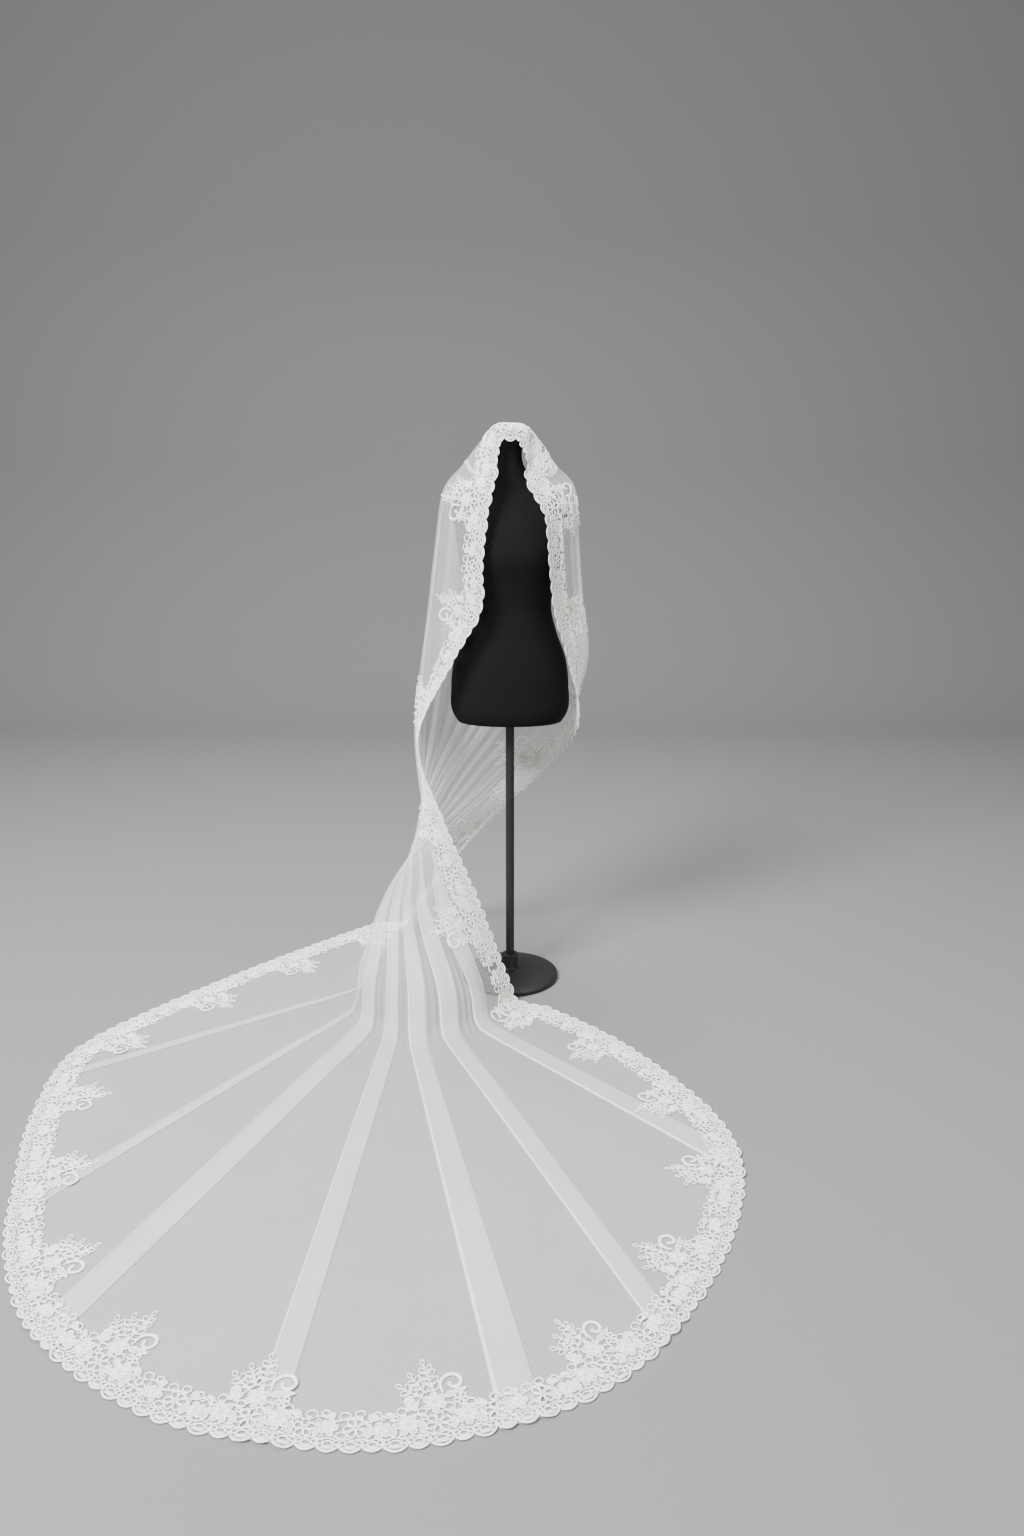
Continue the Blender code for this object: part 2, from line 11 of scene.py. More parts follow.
import bpy
import numpy as np
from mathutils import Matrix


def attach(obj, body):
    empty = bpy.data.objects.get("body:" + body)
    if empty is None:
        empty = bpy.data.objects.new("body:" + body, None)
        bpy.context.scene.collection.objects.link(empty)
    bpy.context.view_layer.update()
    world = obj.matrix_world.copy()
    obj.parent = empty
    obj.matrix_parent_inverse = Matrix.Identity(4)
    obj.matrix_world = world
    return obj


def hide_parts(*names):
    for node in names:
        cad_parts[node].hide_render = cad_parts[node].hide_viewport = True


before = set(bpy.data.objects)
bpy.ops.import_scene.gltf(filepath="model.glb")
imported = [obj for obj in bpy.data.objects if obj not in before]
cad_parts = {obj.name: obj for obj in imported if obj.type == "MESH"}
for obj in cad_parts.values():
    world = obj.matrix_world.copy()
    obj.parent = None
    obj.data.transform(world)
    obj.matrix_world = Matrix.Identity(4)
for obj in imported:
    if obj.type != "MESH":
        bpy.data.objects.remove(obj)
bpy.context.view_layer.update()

# The sheet ----------------------------------------------------------------------------------------------------
STRIDE = 0.25

# The drape: where the sheet passes, row by row. In each row its first edge, one side, its middle, the other
# side and its last edge, as x, y, z.
ACROSS_KNOTS = (-1.0, -0.5, 0.0, 0.5, 1.0)
DRAPE = (
    # first edge, one side, middle, other side, last edge
    ((-0.0275, -0.0662, 1.5480), (-0.0240, -0.0635, 1.5665), (0.0000, -0.0635, 1.5700),
     (0.0255, -0.0635, 1.5665), (0.0350, -0.0660, 1.5480)),
    ((-0.0325, -0.0675, 1.5300), (-0.0340, -0.0470, 1.5940), (0.0000, -0.0500, 1.5985),
     (0.0430, -0.0460, 1.5910), (0.0430, -0.0675, 1.5310)),
    ((-0.0335, -0.0725, 1.5120), (-0.0460, -0.0250, 1.6010), (0.0000, -0.0280, 1.6045),
     (0.0520, -0.0250, 1.5980), (0.0460, -0.0730, 1.5060)),
    ((-0.0340, -0.0800, 1.4900), (-0.0820, -0.0100, 1.5600), (0.0000, 0.0360, 1.6020),
     (0.0820, -0.0100, 1.5600), (0.0410, -0.0830, 1.4750)),
    ((-0.0440, -0.0970, 1.4450), (-0.1300, 0.0000, 1.5020), (0.0000, 0.0900, 1.5450),
     (0.1280, 0.0000, 1.5020), (0.0640, -0.1000, 1.4250)),
    ((-0.0580, -0.1160, 1.3800), (-0.1780, 0.0080, 1.4400), (0.0000, 0.1280, 1.4550),
     (0.1740, 0.0080, 1.4400), (0.0940, -0.1160, 1.3700)),
    ((-0.0720, -0.1320, 1.2550), (-0.2030, 0.0150, 1.2850), (-0.0040, 0.1500, 1.3000),
     (0.1820, 0.0150, 1.2850), (0.1040, -0.1300, 1.2550)),
    ((-0.0780, -0.1300, 1.1250), (-0.2240, 0.0200, 1.1300), (-0.0100, 0.1650, 1.1300),
     (0.1940, 0.0200, 1.1300), (0.1200, -0.1180, 1.1200)),
    ((-0.1550, -0.1240, 0.9850), (-0.2410, 0.0300, 0.9700), (-0.0200, 0.1850, 0.9600),
     (0.2030, 0.0300, 0.9700), (0.1600, -0.0900, 0.9800)),
    ((-0.2550, -0.0900, 0.7600), (-0.2570, 0.0500, 0.7600), (-0.1000, 0.2000, 0.7600),
     (0.1300, 0.1600, 0.7700), (0.1900, -0.0050, 0.7800)),
    ((-0.1850, -0.1350, 0.5400), (-0.2450, -0.0400, 0.5500), (-0.2250, 0.1300, 0.5500),
     (-0.0500, 0.2300, 0.5600), (0.0700, 0.2000, 0.5700)),
    ((-0.0970, -0.1550, 0.3200), (-0.2150, -0.1650, 0.3100), (-0.3150, -0.0700, 0.3000),
     (-0.3300, 0.0700, 0.3100), (-0.1300, 0.3000, 0.3300)),
    ((-0.0100, -0.1720, 0.0800), (-0.1300, -0.2800, 0.1100), (-0.3050, -0.2900, 0.1100),
     (-0.4300, -0.0900, 0.1100), (-0.2900, 0.3700, 0.1000)),
    ((0.0450, -0.1900, 0.0000), (-0.1000, -0.3600, 0.0000), (-0.3000, -0.4000, 0.0000),
     (-0.4550, -0.2000, 0.0000), (-0.3700, 0.4100, 0.0000)),
)
FLOOR_LINE = len(DRAPE) - 1

# The train's outer edge on the floor, from the first edge round to the last: across, x, y.
HEM = (
    (-1.00, 0.118, -0.215),
    (-0.90, 0.285, -0.395),
    (-0.80, 0.415, -0.596),
    (-0.72, 0.490, -0.760),
    (-0.62, 0.512, -0.940),
    (-0.49, 0.435, -1.200),
    (-0.36, 0.290, -1.432),
    (-0.25, 0.170, -1.545),
    (-0.14, 0.030, -1.615),
    (-0.04, -0.180, -1.665),
    (0.06, -0.390, -1.652),
    (0.165, -0.600, -1.595),
    (0.27, -0.827, -1.445),
    (0.385, -0.970, -1.250),
    (0.50, -1.058, -1.020),
    (0.56, -1.125, -0.800),
    (0.62, -1.160, -0.560),
    (0.70, -1.130, -0.400),
    (0.80, -0.960, -0.150),
    (0.90, -0.740, 0.110),
    (1.00, -0.480, 0.380),
)

# The pressed pleats: where each lies across, and its width at the floor line and at the hem.
PLEATS = (
    (-0.62, 0.045, 0.058),
    (-0.36, 0.046, 0.042),
    (-0.14, 0.044, 0.066),
    (0.06, 0.044, 0.048),
    (0.27, 0.060, 0.062),
    (0.46, 0.030, 0.040),
    (0.61, 0.026, 0.036),
)
PLEAT_OPEN_WIDTH = 0.06
PLEAT_LIFT_ROWS = (9.2, 10.2)
PLEAT_FOLD_ROWS = (10.0, 11.4)
SOFT_FOLD_DEPTH = 0.009
SOFT_FOLD_ROWS = (4.0, 6.0, 10.0, 11.5)


def smooth(values):
    """0 below 0, 1 above 1, and an S curve between."""
    values = np.clip(values, 0.0, 1.0)
    return values * values * (3.0 - 2.0 * values)


def curve_through(knots, values, at, last_slope=None):
    """A cubic curve through values[k] at knots[k], whose slope at each knot is the mean of its two spans'.
    values is (knots, points, 3) or (knots, 1, 3), and at has one place for each point."""
    knots = np.asarray(knots, float)
    values = np.broadcast_to(values, (len(knots), len(at), np.shape(values)[-1]))
    spans = np.diff(knots)[:, None, None]
    rises = np.diff(values, axis=0) / spans
    inner = (rises[:-1] * spans[1:] + rises[1:] * spans[:-1]) / (spans[:-1] + spans[1:])
    slopes = np.concatenate([rises[:1], inner, rises[-1:]])
    span = np.clip(np.searchsorted(knots, at, side="right") - 1, 0, len(knots) - 2)
    point = np.arange(len(at))
    width = np.diff(knots)[span][:, None]
    share = (at[:, None] - knots[span][:, None]) / width
    start, end = values[span, point], values[span + 1, point]
    leave, arrive = slopes[span, point] * width, slopes[span + 1, point] * width
    if last_slope is not None:
        arrive = np.where((span == len(knots) - 2)[:, None], last_slope * width, arrive)
    return (
        start * (1 + 2 * share) * (1 - share) ** 2
        + end * share**2 * (3 - 2 * share)
        + leave * share * (1 - share) ** 2
        - arrive * share**2 * (1 - share)
    )


def hem_point(across):
    """The hem on the floor: a smooth curve through the points of HEM."""
    table = np.array(HEM)
    flat = curve_through(table[:, 0], table[:, None, 1:], across)
    return np.column_stack([flat, np.zeros(len(across))])


def rays(across):
    """Where the sheet meets the floor, the unit direction in which it runs out from there, and how far."""
    foot = curve_through(ACROSS_KNOTS, np.array(DRAPE[-1])[:, None], across)
    run = hem_point(across) - foot
    length = np.linalg.norm(run, axis=1)
    return foot, run / length[:, None], length


def sheet(across, along):
    """The sheet's underside with no folds: the rows of DRAPE joined smoothly, and then straight over the floor."""
    rows = [curve_through(ACROSS_KNOTS, np.array(row)[:, None], across) for row in DRAPE]
    foot, direction, _ = rays(across)
    rows.append(foot + direction * STRIDE)
    knots = np.arange(len(rows), dtype=float)
    hung = curve_through(knots, np.array(rows), np.minimum(along, knots[-1]), direction * STRIDE)
    beyond = np.maximum(along - knots[-1], 0.0)[:, None] * direction * STRIDE
    points = hung + beyond
    points[:, 2] = np.where(along > FLOOR_LINE, 0.0, np.maximum(points[:, 2], 0.0))
    return points


def hem_along(across):
    """The hem's place along: the floor line, and the ray's length over the floor in strides."""
    return FLOOR_LINE + rays(across)[2] / STRIDE


def width_across(across, along):
    """Metres of sheet for one unit of across."""
    step = 0.01
    return np.linalg.norm(sheet(across + step, along) - sheet(across - step, along), axis=1) / (2 * step)


def row_factors(along):
    """How far a pleat is raised and folded at a place along the sheet, and how deep its soft fold is above that."""
    raised = smooth((along - PLEAT_LIFT_ROWS[0]) / (PLEAT_LIFT_ROWS[1] - PLEAT_LIFT_ROWS[0]))
    folded = smooth((along - PLEAT_FOLD_ROWS[0]) / (PLEAT_FOLD_ROWS[1] - PLEAT_FOLD_ROWS[0]))
    start, full, fade, end = SOFT_FOLD_ROWS
    soft = smooth((along - start) / (full - start)) * smooth((end - along) / (end - fade))
    return raised, folded, soft


def slopes(across, along, step):
    """How far the unfolded sheet goes for one unit across and for one unit along."""
    before = np.maximum(along - step, 0.0)
    crosswise = (sheet(across + step, along) - sheet(across - step, along)) / (2 * step)
    return crosswise, (sheet(across, along + step) - sheet(across, before)) / (along + step - before)[:, None]


def raised_side(across, along):
    """Unit normals of the unfolded sheet, away from the form and up from the floor."""
    normals = np.cross(*slopes(across, along, 0.02))
    return normals / np.maximum(np.linalg.norm(normals, axis=1, keepdims=True), 1e-12)


# The edge, and the ways in from it
LACE_REPEATS = 28
LACE_WIDTH = 0.068
EDGE_SAMPLES = 1600
INSET_STEP = 0.004
INSET_REACH = 0.172


def edge(columns_per_repeat):
    """The sheet's edge as places across and along: down the first edge, round the hem, up the last edge and
    over the front, evenly spaced along the middle of the lace."""
    share = np.linspace(0, 1, EDGE_SAMPLES // 4, endpoint=False)
    one = np.ones(len(share))
    round_hem = -1 + 2 * share
    low_first, low_last = hem_along(np.array([-1.0, 1.0]))
    across = np.concatenate([-one, round_hem, one, 1 - 2 * share, [-1.0]])
    along = np.concatenate([share * low_first, hem_along(round_hem), (1 - share) * low_last, 0 * share, [0.0]])
    inner = inset_paths(across, along)[0][round(LACE_WIDTH / INSET_STEP)]
    steps = np.linalg.norm(np.diff(sheet(across, along), axis=0), axis=1)
    inner_steps = np.linalg.norm(np.diff(sheet(inner[:, 0], inner[:, 1]), axis=0), axis=1)
    distance = np.concatenate([[0.0], np.cumsum((steps + inner_steps) / 2)])
    even = np.linspace(0, distance[-1], LACE_REPEATS * columns_per_repeat, endpoint=False)
    return np.interp(even, distance, across), np.interp(even, distance, along)


def inset_paths(across, along):
    """Paths from each point of the edge into the sheet, square to the edge and as straight as the sheet lets them
    be, as places across and along after each INSET_STEP: (steps, points, 2). Also their first directions."""
    step = 0.01
    points = sheet(across, along)
    tangent = np.roll(points, -1, axis=0) - np.roll(points, 1, axis=0)
    place = np.column_stack([across, along])
    paths = [place]
    heading = start = None
    while len(paths) * INSET_STEP < INSET_REACH + 2 * INSET_STEP:
        crosswise, lengthwise = slopes(place[:, 0], place[:, 1], step)
        up = np.cross(crosswise, lengthwise)
        up /= np.linalg.norm(up, axis=1, keepdims=True)
        heading = np.cross(tangent, up) if heading is None else heading - up * (heading * up).sum(axis=1)[:, None]
        heading /= np.linalg.norm(heading, axis=1, keepdims=True)
        start = heading if start is None else start
        cc, cl = (crosswise * crosswise).sum(axis=1) + 1e-6, (crosswise * lengthwise).sum(axis=1)
        ll = (lengthwise * lengthwise).sum(axis=1) + 1e-6
        c_in, l_in = (crosswise * heading).sum(axis=1), (lengthwise * heading).sum(axis=1)
        area = cc * ll - cl * cl
        move = np.column_stack([(c_in * ll - l_in * cl) / area, (l_in * cc - c_in * cl) / area]) * INSET_STEP
        for _ in range(4):
            ahead = np.clip(place + move, (-1.0, 0.0), (1.0, np.inf))
            gone = np.linalg.norm(sheet(ahead[:, 0], ahead[:, 1]) - points, axis=1)
            move *= np.clip(INSET_STEP / np.maximum(gone, 1e-9), 0.3, 2.0)[:, None]
        place = np.clip(place + move, (-1.0, 0.0), (1.0, np.inf))
        points = sheet(place[:, 0], place[:, 1])
        paths.append(place)
    return np.array(paths), start


# The net's folds ----------------------------------------------------------------------------------------------
# One pleat in section: its place across in pleat widths, and its height in layers, from fold to fold.
PLEAT_SECTION = (
    (-0.50, 0.0), (-0.25, 0.0), (0.0, 0.0), (0.25, 0.0), (0.48, 0.0),
    (0.50, 0.5),
    (0.48, 1.0), (0.25, 1.0), (0.0, 1.0), (-0.25, 1.0), (-0.48, 1.0),
    (-0.50, 1.5),
    (-0.48, 2.0), (-0.25, 2.0), (0.0, 2.0), (0.25, 2.0), (0.47, 2.0), (0.50, 1.8),
    (0.54, 0.3), (0.60, 0.0),
)
# The section's points on the pleat's pressed edge, where the net turns down and shows as a brighter line.
PLEAT_FOLD_POINTS = (17, 18)
NET_LAYER_PITCH = 0.0013
NET_LIFT = 0.0007
NET_PANEL_STEP = 0.017
NET_ROWS_PER_ROW = 14
NET_TRAIN_ROWS = 58

# Soft hanging folds: place across, half its width across, depth, and the rows where it starts and ends.
HANGING_FOLDS = (
    (-0.84, 0.040, 0.006, 4.2, 9.5),
    (-0.72, 0.030, 0.008, 3.6, 10.5),
    (-0.55, 0.034, 0.009, 3.8, 11.0),
    (-0.47, 0.024, 0.006, 4.6, 11.0),
    (-0.25, 0.050, 0.012, 3.8, 11.0),
    (-0.03, 0.050, 0.013, 3.8, 11.0),
    (0.17, 0.045, 0.011, 4.0, 11.5),
    (0.37, 0.036, 0.010, 4.0, 11.5),
    (0.53, 0.028, 0.008, 3.8, 11.5),
    (0.70, 0.030, 0.008, 3.8, 10.5),
    (0.83, 0.034, 0.006, 4.2, 9.5),
)
# The thin crease on the hood: the ends' places across and along, half width along, and height.
HOOD_CREASE = ((-0.86, 3.66), (-0.42, 3.90), 0.085, 0.0022)
# Where the hood lies over the neck it is flat from side to side: across, along, half sizes and height.
HOOD_CROWN = ((0.0, 1.9, 0.34, 1.9, 0.0045), (-0.40, 1.9, 0.16, 1.5, -0.0030), (0.40, 1.9, 0.16, 1.5, -0.0030))
FALL_FOLDS_PER_ACROSS = 21.0
FALL_FOLD_DEPTH = 0.0042
FALL_ROWS = (8.6, 10.6, 12.3, 13.7)
RIPPLES_PER_ACROSS = 26.0
RIPPLE_DEPTH = 0.0022
# The train's rippled stretches beside the lace: the places across where each starts and ends.
RIPPLED = ((-0.97, -0.66), (0.30, 0.96))


def bump(values):
    """1 at 0, falling smoothly to 0 at -1 and 1."""
    return np.cos(np.pi / 2 * np.clip(values, -1, 1)) ** 2


def crease_share(across, along):
    """1 along the middle of the crease on the hood, falling to 0 at its sides and its ends."""
    (a0, l0), (a1, l1), half_width, _ = HOOD_CREASE
    share = (across - a0) / (a1 - a0)
    line = l0 + (l1 - l0) * share + 0.10 * np.sin(np.pi * np.clip(share, 0, 1) * 2.2)
    return bump((along - line) / half_width) * smooth(share / 0.2) * smooth((1 - share) / 0.3)


def fold_height(across, along):
    """How far the net stands out from the plain sheet, apart from its pleats' layers: the soft folds over the
    pleats, the hanging folds, the crease on the hood, the streaks of the fall and the ripples by the lace."""
    soft = row_factors(along)[2]
    height = np.zeros(len(across))
    for place, _, _ in PLEATS:
        height += SOFT_FOLD_DEPTH * soft * bump(2 * (across - place) / PLEAT_OPEN_WIDTH)
    for place, half_width, depth, start, end in HANGING_FOLDS:
        length = smooth((along - start) / 1.6) * smooth((end - along) / 1.6)
        aside = (across - place) / half_width
        height += depth * length * (bump(aside) - 0.55 * bump(aside / 2.2))
    height += HOOD_CREASE[3] * crease_share(across, along)
    for place, row, half_width, half_length, rise in HOOD_CROWN:
        height += rise * bump((across - place) / half_width) * bump((along - row) / half_length)
    start, full, fade, end = FALL_ROWS
    fall = smooth((along - start) / (full - start)) * smooth((end - along) / (end - fade))
    streak = 0.5 + 0.5 * np.sin(2 * np.pi * FALL_FOLDS_PER_ACROSS * across + 2.1 * np.sin(9 * across))
    height += FALL_FOLD_DEPTH * fall * smooth((0.94 - np.abs(across)) / 0.12) * streak**2
    from_hem = (hem_along(across) - along) * STRIDE
    band = smooth((from_hem - 0.045) / 0.035) * smooth((0.230 - from_hem) / 0.13) * (along > FLOOR_LINE)
    for start, end in RIPPLED:
        window = smooth((across - start) / 0.05) * smooth((end - across) / 0.05)
        wave = np.sin(2 * np.pi * RIPPLES_PER_ACROSS * across + 2.6 * np.sin(13 * across) + 9 * from_hem)
        height += RIPPLE_DEPTH * band * window * (0.5 + 0.5 * wave)
    return height


def net_columns():
    """The across place, the layer height and the doubling of every column of the net in every row, as
    (columns, rows) arrays."""
    hung = np.linspace(0, FLOOR_LINE, FLOOR_LINE * NET_ROWS_PER_ROW + 1)
    share = np.linspace(0, 1, NET_TRAIN_ROWS + 1)[1:]
    row_along = np.concatenate([hung, FLOOR_LINE + share])
    row_share = np.concatenate([np.zeros(len(hung)), share])
    on_train = row_share > 0
    raised, folded, _ = row_factors(row_along)
    section = np.array(PLEAT_SECTION)
    opened = np.linspace(-0.5, 0.5, len(section))
    on_fold = np.isin(np.arange(len(section)), PLEAT_FOLD_POINTS)
    across, layer, doubled = [], [], []
    last = np.full(len(row_along), -1.0)
    for place, foot_width, hem_width in PLEATS + ((None, 0.0, 0.0),):
        if place is None:
            columns = np.ones((1, len(last)))
        else:
            at = np.full(len(row_along), place)
            along = np.where(on_train, FLOOR_LINE + row_share * (hem_along(at) - FLOOR_LINE), row_along)
            width = (foot_width + (hem_width - foot_width) * row_share) / width_across(at, along)
            columns = place + np.outer(opened, 1 - folded) * PLEAT_OPEN_WIDTH
            columns += np.outer(section[:, 0], folded) * width
        middle = np.array([(last[-1] + columns[0, -1]) / 2])
        panel = (columns[0, -1] - last[-1]) * width_across(middle, hem_along(middle))[0]
        shares = np.linspace(0, 1, int(panel / NET_PANEL_STEP) + 2)[(0 if not across else 1) : -1]
        across.append(last + np.outer(shares, np.ones(len(last))) * (columns[0] - last))
        layer.append(np.zeros((len(shares), len(last))))
        doubled.append(np.zeros((len(shares), len(last))))
        across.append(columns)
        layer.append(np.zeros((1, len(last))) if place is None else np.outer(section[:, 1], raised))
        doubled.append(np.zeros((1, len(last))) if place is None else np.outer(on_fold, folded))
        last = columns[-1]
    across, layer, doubled = np.concatenate(across), np.concatenate(layer), np.concatenate(doubled)
    hem = hem_along(across.ravel()).reshape(across.shape)
    along = np.where(on_train, FLOOR_LINE + row_share * (hem - FLOOR_LINE), row_along)
    return across, along, layer, doubled


def net_grid():
    """The net as a grid of points, the sheet moved out by its folds and by its pleats' layers, and how far it lies
    doubled on itself at each, from 0 to 1: on the pleats' pressed edges and on the hood's crease."""
    across, along, layer, doubled = net_columns()
    flat_across, flat_along = across.ravel(), along.ravel()
    out = NET_LIFT + fold_height(flat_across, flat_along) + layer.ravel() * NET_LAYER_PITCH
    points = sheet(flat_across, flat_along) + raised_side(flat_across, flat_along) * out[:, None]
    doubled = np.maximum(doubled, crease_share(across, along))
    return points.reshape(across.shape + (3,)), doubled


# The lace's flat pattern --------------------------------------------------------------------------------------
# All in millimetres: x along the edge within one repeat, v in from the edge.
REPEAT = 300.0
SCALLOPS = (34, 30, 36, 32, 36, 30, 36, 32, 34)
SCALLOP_TIP, SCALLOP_VALLEY = -7.0, 7.0
BAND_END = 60.0
# Flowers: x, v, radius, petals, turn in degrees, and 1 if the petals are open loops.
FLOWERS = (
    (20, 39, 19, 6, 10, 1),
    (60, 33, 16, 5, 40, 0),
    (102, 40, 20, 6, 0, 0),
    (149, 36, 20, 6, 15, 1),
    (196, 41, 20, 6, 30, 0),
    (240, 34, 17, 5, 20, 1),
    (278, 38, 15, 5, 0, 0),
    (148, 76, 20, 6, 30, 0),
    (110, 76, 12, 5, 12, 0),
    (192, 74, 12, 5, 50, 1),
)
# Lobed leaves: from x, v to x, v, width and lobes on a side.
LEAVES = (
    (40, 20, 42, 46, 11, 2),
    (78, 20, 80, 46, 10, 2),
    (38, 62, 56, 54, 11, 2),
    (80, 56, 66, 64, 10, 2),
    (124, 22, 124, 44, 10, 2),
    (172, 20, 174, 44, 10, 2),
    (218, 20, 218, 46, 10, 2),
    (214, 62, 230, 54, 11, 2),
    (260, 20, 260, 46, 9, 2),
    (284, 62, 268, 56, 10, 2),
    (166, 84, 206, 93, 11, 2),
    (112, 92, 96, 84, 10, 2),
)
# Sprigs of petals in pairs: from x, v to x, v, pairs, and the petals' length.
SPRIGS = (
    (130, 88, 94, 112, 3, 18),
    (138, 96, 114, 131, 3, 17),
    (148, 96, 146, 128, 2, 20),
    (146, 124, 139, 154, 2, 17),
)
PETAL_SPREAD, PETAL_SLIMNESS, PETAL_SHRINK = 0.95, 0.62, 0.25
# Loops of thick thread: x, v and the two radii.
LOOPS = (
    (0, 60, 9, 7),
    (24, 65, 8, 6),
    (52, 62, 7, 6),
    (92, 66, 8, 7),
    (126, 62, 8, 6),
    (171, 62, 9, 8),
    (206, 64, 8, 6),
    (246, 60, 9, 7),
    (268, 64, 7, 5),
    (80, 54, 6, 5),
    (174, 54, 5, 5),
    (128, 50, 5, 4),
    (218, 54, 6, 5),
    (0, 24, 8, 6),
)
STEM = ((148, 60), (150, 94), (147, 120), (143, 150))
# The curled scroll beside each bouquet: its middle, and its radius and angle in degrees along the curl.
SCROLL_MIDDLE = (184, 110)
SCROLL = ((27, 225), (21, 175), (17.5, 125), (17, 70), (16.5, 15), (14, -40), (9.5, -95), (6, -150))
CORD = 2.9
FINE_CORD = 1.9
CORD_HEIGHT = 1.7
# Waving cords along the band: distance in from the edge, swing, wave length and width.
BAND_LINES = ((17, 1.8, 25, FINE_CORD), (54, 4.0, 50, CORD))
# The cord's section: places aside in widths, and shares of its height.
CORD_SECTION = ((-0.5, 0.15), (-0.22, 1.0), (0.22, 1.0), (0.5, 0.15))
CLOTH_HEIGHT = 0.35
# The small loops that fill the band: the lattice they stand on, their size and the bare room that each needs.
FILLER_ROWS = 11
FILLER_START = 20
FILLER_STEP = 8.6
FILLER_ROW_SHARE = 0.82
FILLER_JITTER = (1.6, 1.2)
FILLER_RADIUS = 4.2
FILLER_ROOM = 3.2
FILLER_SEED = 7
# The bouquet's foot, where the loops climb above the band: its middle, half width and height.
FOOT_MIDDLE, FOOT_HALF_WIDTH, FOOT_HEIGHT = 147, 50, 52
# The lace's pieces: their names, the repeats where each starts and ends, and whether its pattern is turned over.
LACE_PARTS = (
    ("lace_first_edge", 0, 5, False),
    ("lace_front_hem", 5, 12, True),
    ("lace_back_hem", 12, 20, True),
    ("lace_last_edge", 20, 28, False),
)
LACE_COLUMNS_PER_REPEAT = 60
LACE_OVER_NET = 0.0013
PLEAT_COVER_MARGIN, PLEAT_COVER_SLOPE = 0.010, 0.010


class Pattern:
    """A flat pattern: points as x, v and height in millimetres, and faces, each with 0 for thread or 1 for cloth."""

    def __init__(self):
        self.points, self.faces, self.kinds, self.count = [], [], [], 0

    def add(self, points, faces, kind):
        """Add points and the faces between them, all of one kind."""
        self.points.append(points)
        self.faces.extend(tuple(int(i) + self.count for i in face) for face in faces)
        self.kinds.extend([kind] * len(faces))
        self.count += len(points)

    def cord(self, line, width, closed=False, taper=False, height=CORD_HEIGHT):
        """A raised thread along a line of (x, v), four points across. Its ends narrow if taper is set."""
        line = np.asarray(line, float)
        count = len(line)
        if closed:
            run = np.roll(line, -1, axis=0) - np.roll(line, 1, axis=0)
        else:
            run = np.gradient(line, axis=0)
        aside = np.column_stack([-run[:, 1], run[:, 0]]) / np.maximum(np.linalg.norm(run, axis=1), 1e-9)[:, None]
        share = np.linspace(0, 1, count)
        thin = 1 - 0.75 * np.abs(2 * share - 1) ** 6 if taper else np.ones(count)
        rows = []
        for offset, rise in CORD_SECTION:
            place = line + aside * (offset * width * thin)[:, None]
            rows.append(np.column_stack([place, rise * height * thin]))
        points = np.stack(rows, axis=1).reshape(-1, 3)
        faces = []
        for i in range(count if closed else count - 1):
            j = (i + 1) % count
            faces += [(4 * i + k, 4 * j + k, 4 * j + k + 1, 4 * i + k + 1) for k in range(3)]
        self.add(points, faces, 0)

    def cloth(self, outline, height=CLOTH_HEIGHT):
        """A filled shape: a fan of triangles round its middle, slightly domed."""
        outline = np.asarray(outline, float)
        count = len(outline)
        points = np.vstack([np.column_stack([outline, np.full(count, height)]), [*outline.mean(axis=0), 2 * height]])
        self.add(points, [(i, (i + 1) % count, count) for i in range(count)], 1)


def ellipse(x, v, rx, rv, count=14, turn=0.0):
    """The points of an ellipse round (x, v), turned by an angle in radians."""
    angles = np.linspace(0, 2 * math.pi, count, endpoint=False)
    a, b = rx * np.cos(angles), rv * np.sin(angles)
    c, s = math.cos(turn), math.sin(turn)
    return np.column_stack([x + a * c - b * s, v + a * s + b * c])


def leaf(start, end, width, lobes, inset=0.0):
    """A lobed leaf's outline: its half width is a sine of the share of its length, fullest before the middle,
    times one rounded wave for each lobe. It may be drawn inset, by a share of its size."""
    start, end = np.array(start, float), np.array(end, float)
    middle = start + 0.45 * (end - start)
    run = end - start
    aside = np.array([-run[1], run[0]]) / np.linalg.norm(run)
    share = np.linspace(0, 1, 4 * lobes + 3)
    wave = 0.66 + 0.42 * np.abs(np.sin(math.pi * lobes * share**0.9)) ** 0.8
    half = width / 2 * np.sin(math.pi * share**0.75) ** 0.8 * wave
    left = start + np.outer(share, run) + np.outer(half, aside)
    right = start + np.outer(share, run) - np.outer(half, aside)
    return middle + (np.vstack([left, right[-2:0:-1]]) - middle) * (1 - inset)


def petal(x, v, angle, inner, outer, half_angle, count=9):
    """A round-ended petal's outline, from the flower's ring out to its radius."""
    share = np.linspace(0, 1, count)
    radius = inner + (outer - inner) * np.sin(math.pi * share) ** 0.55
    spread = angle + half_angle * np.cos(math.pi * share)
    return np.column_stack([x + radius * np.cos(spread), v + radius * np.sin(spread)])


def sprig(start, end, pairs, length):
    """Outlines of a sprig's petals: pairs spread to both sides along its stalk, smaller towards the tip, and one
    more on the tip itself."""
    start, end = np.array(start, float), np.array(end, float)
    ahead = math.atan2(end[1] - start[1], end[0] - start[0])
    outlines = []
    for k in range(pairs + 1):
        foot = start + (end - start) * (k + 0.35) / (pairs + 0.35)
        long = length * (1 - PETAL_SHRINK * k / pairs)
        for side in (-1, 1) if k < pairs else (0,):
            angle = ahead + side * PETAL_SPREAD
            middle = foot + 0.55 * long * np.array([math.cos(angle), math.sin(angle)])
            outlines.append(ellipse(*middle, 0.5 * long, 0.5 * long * PETAL_SLIMNESS, 11, angle))
    return outlines


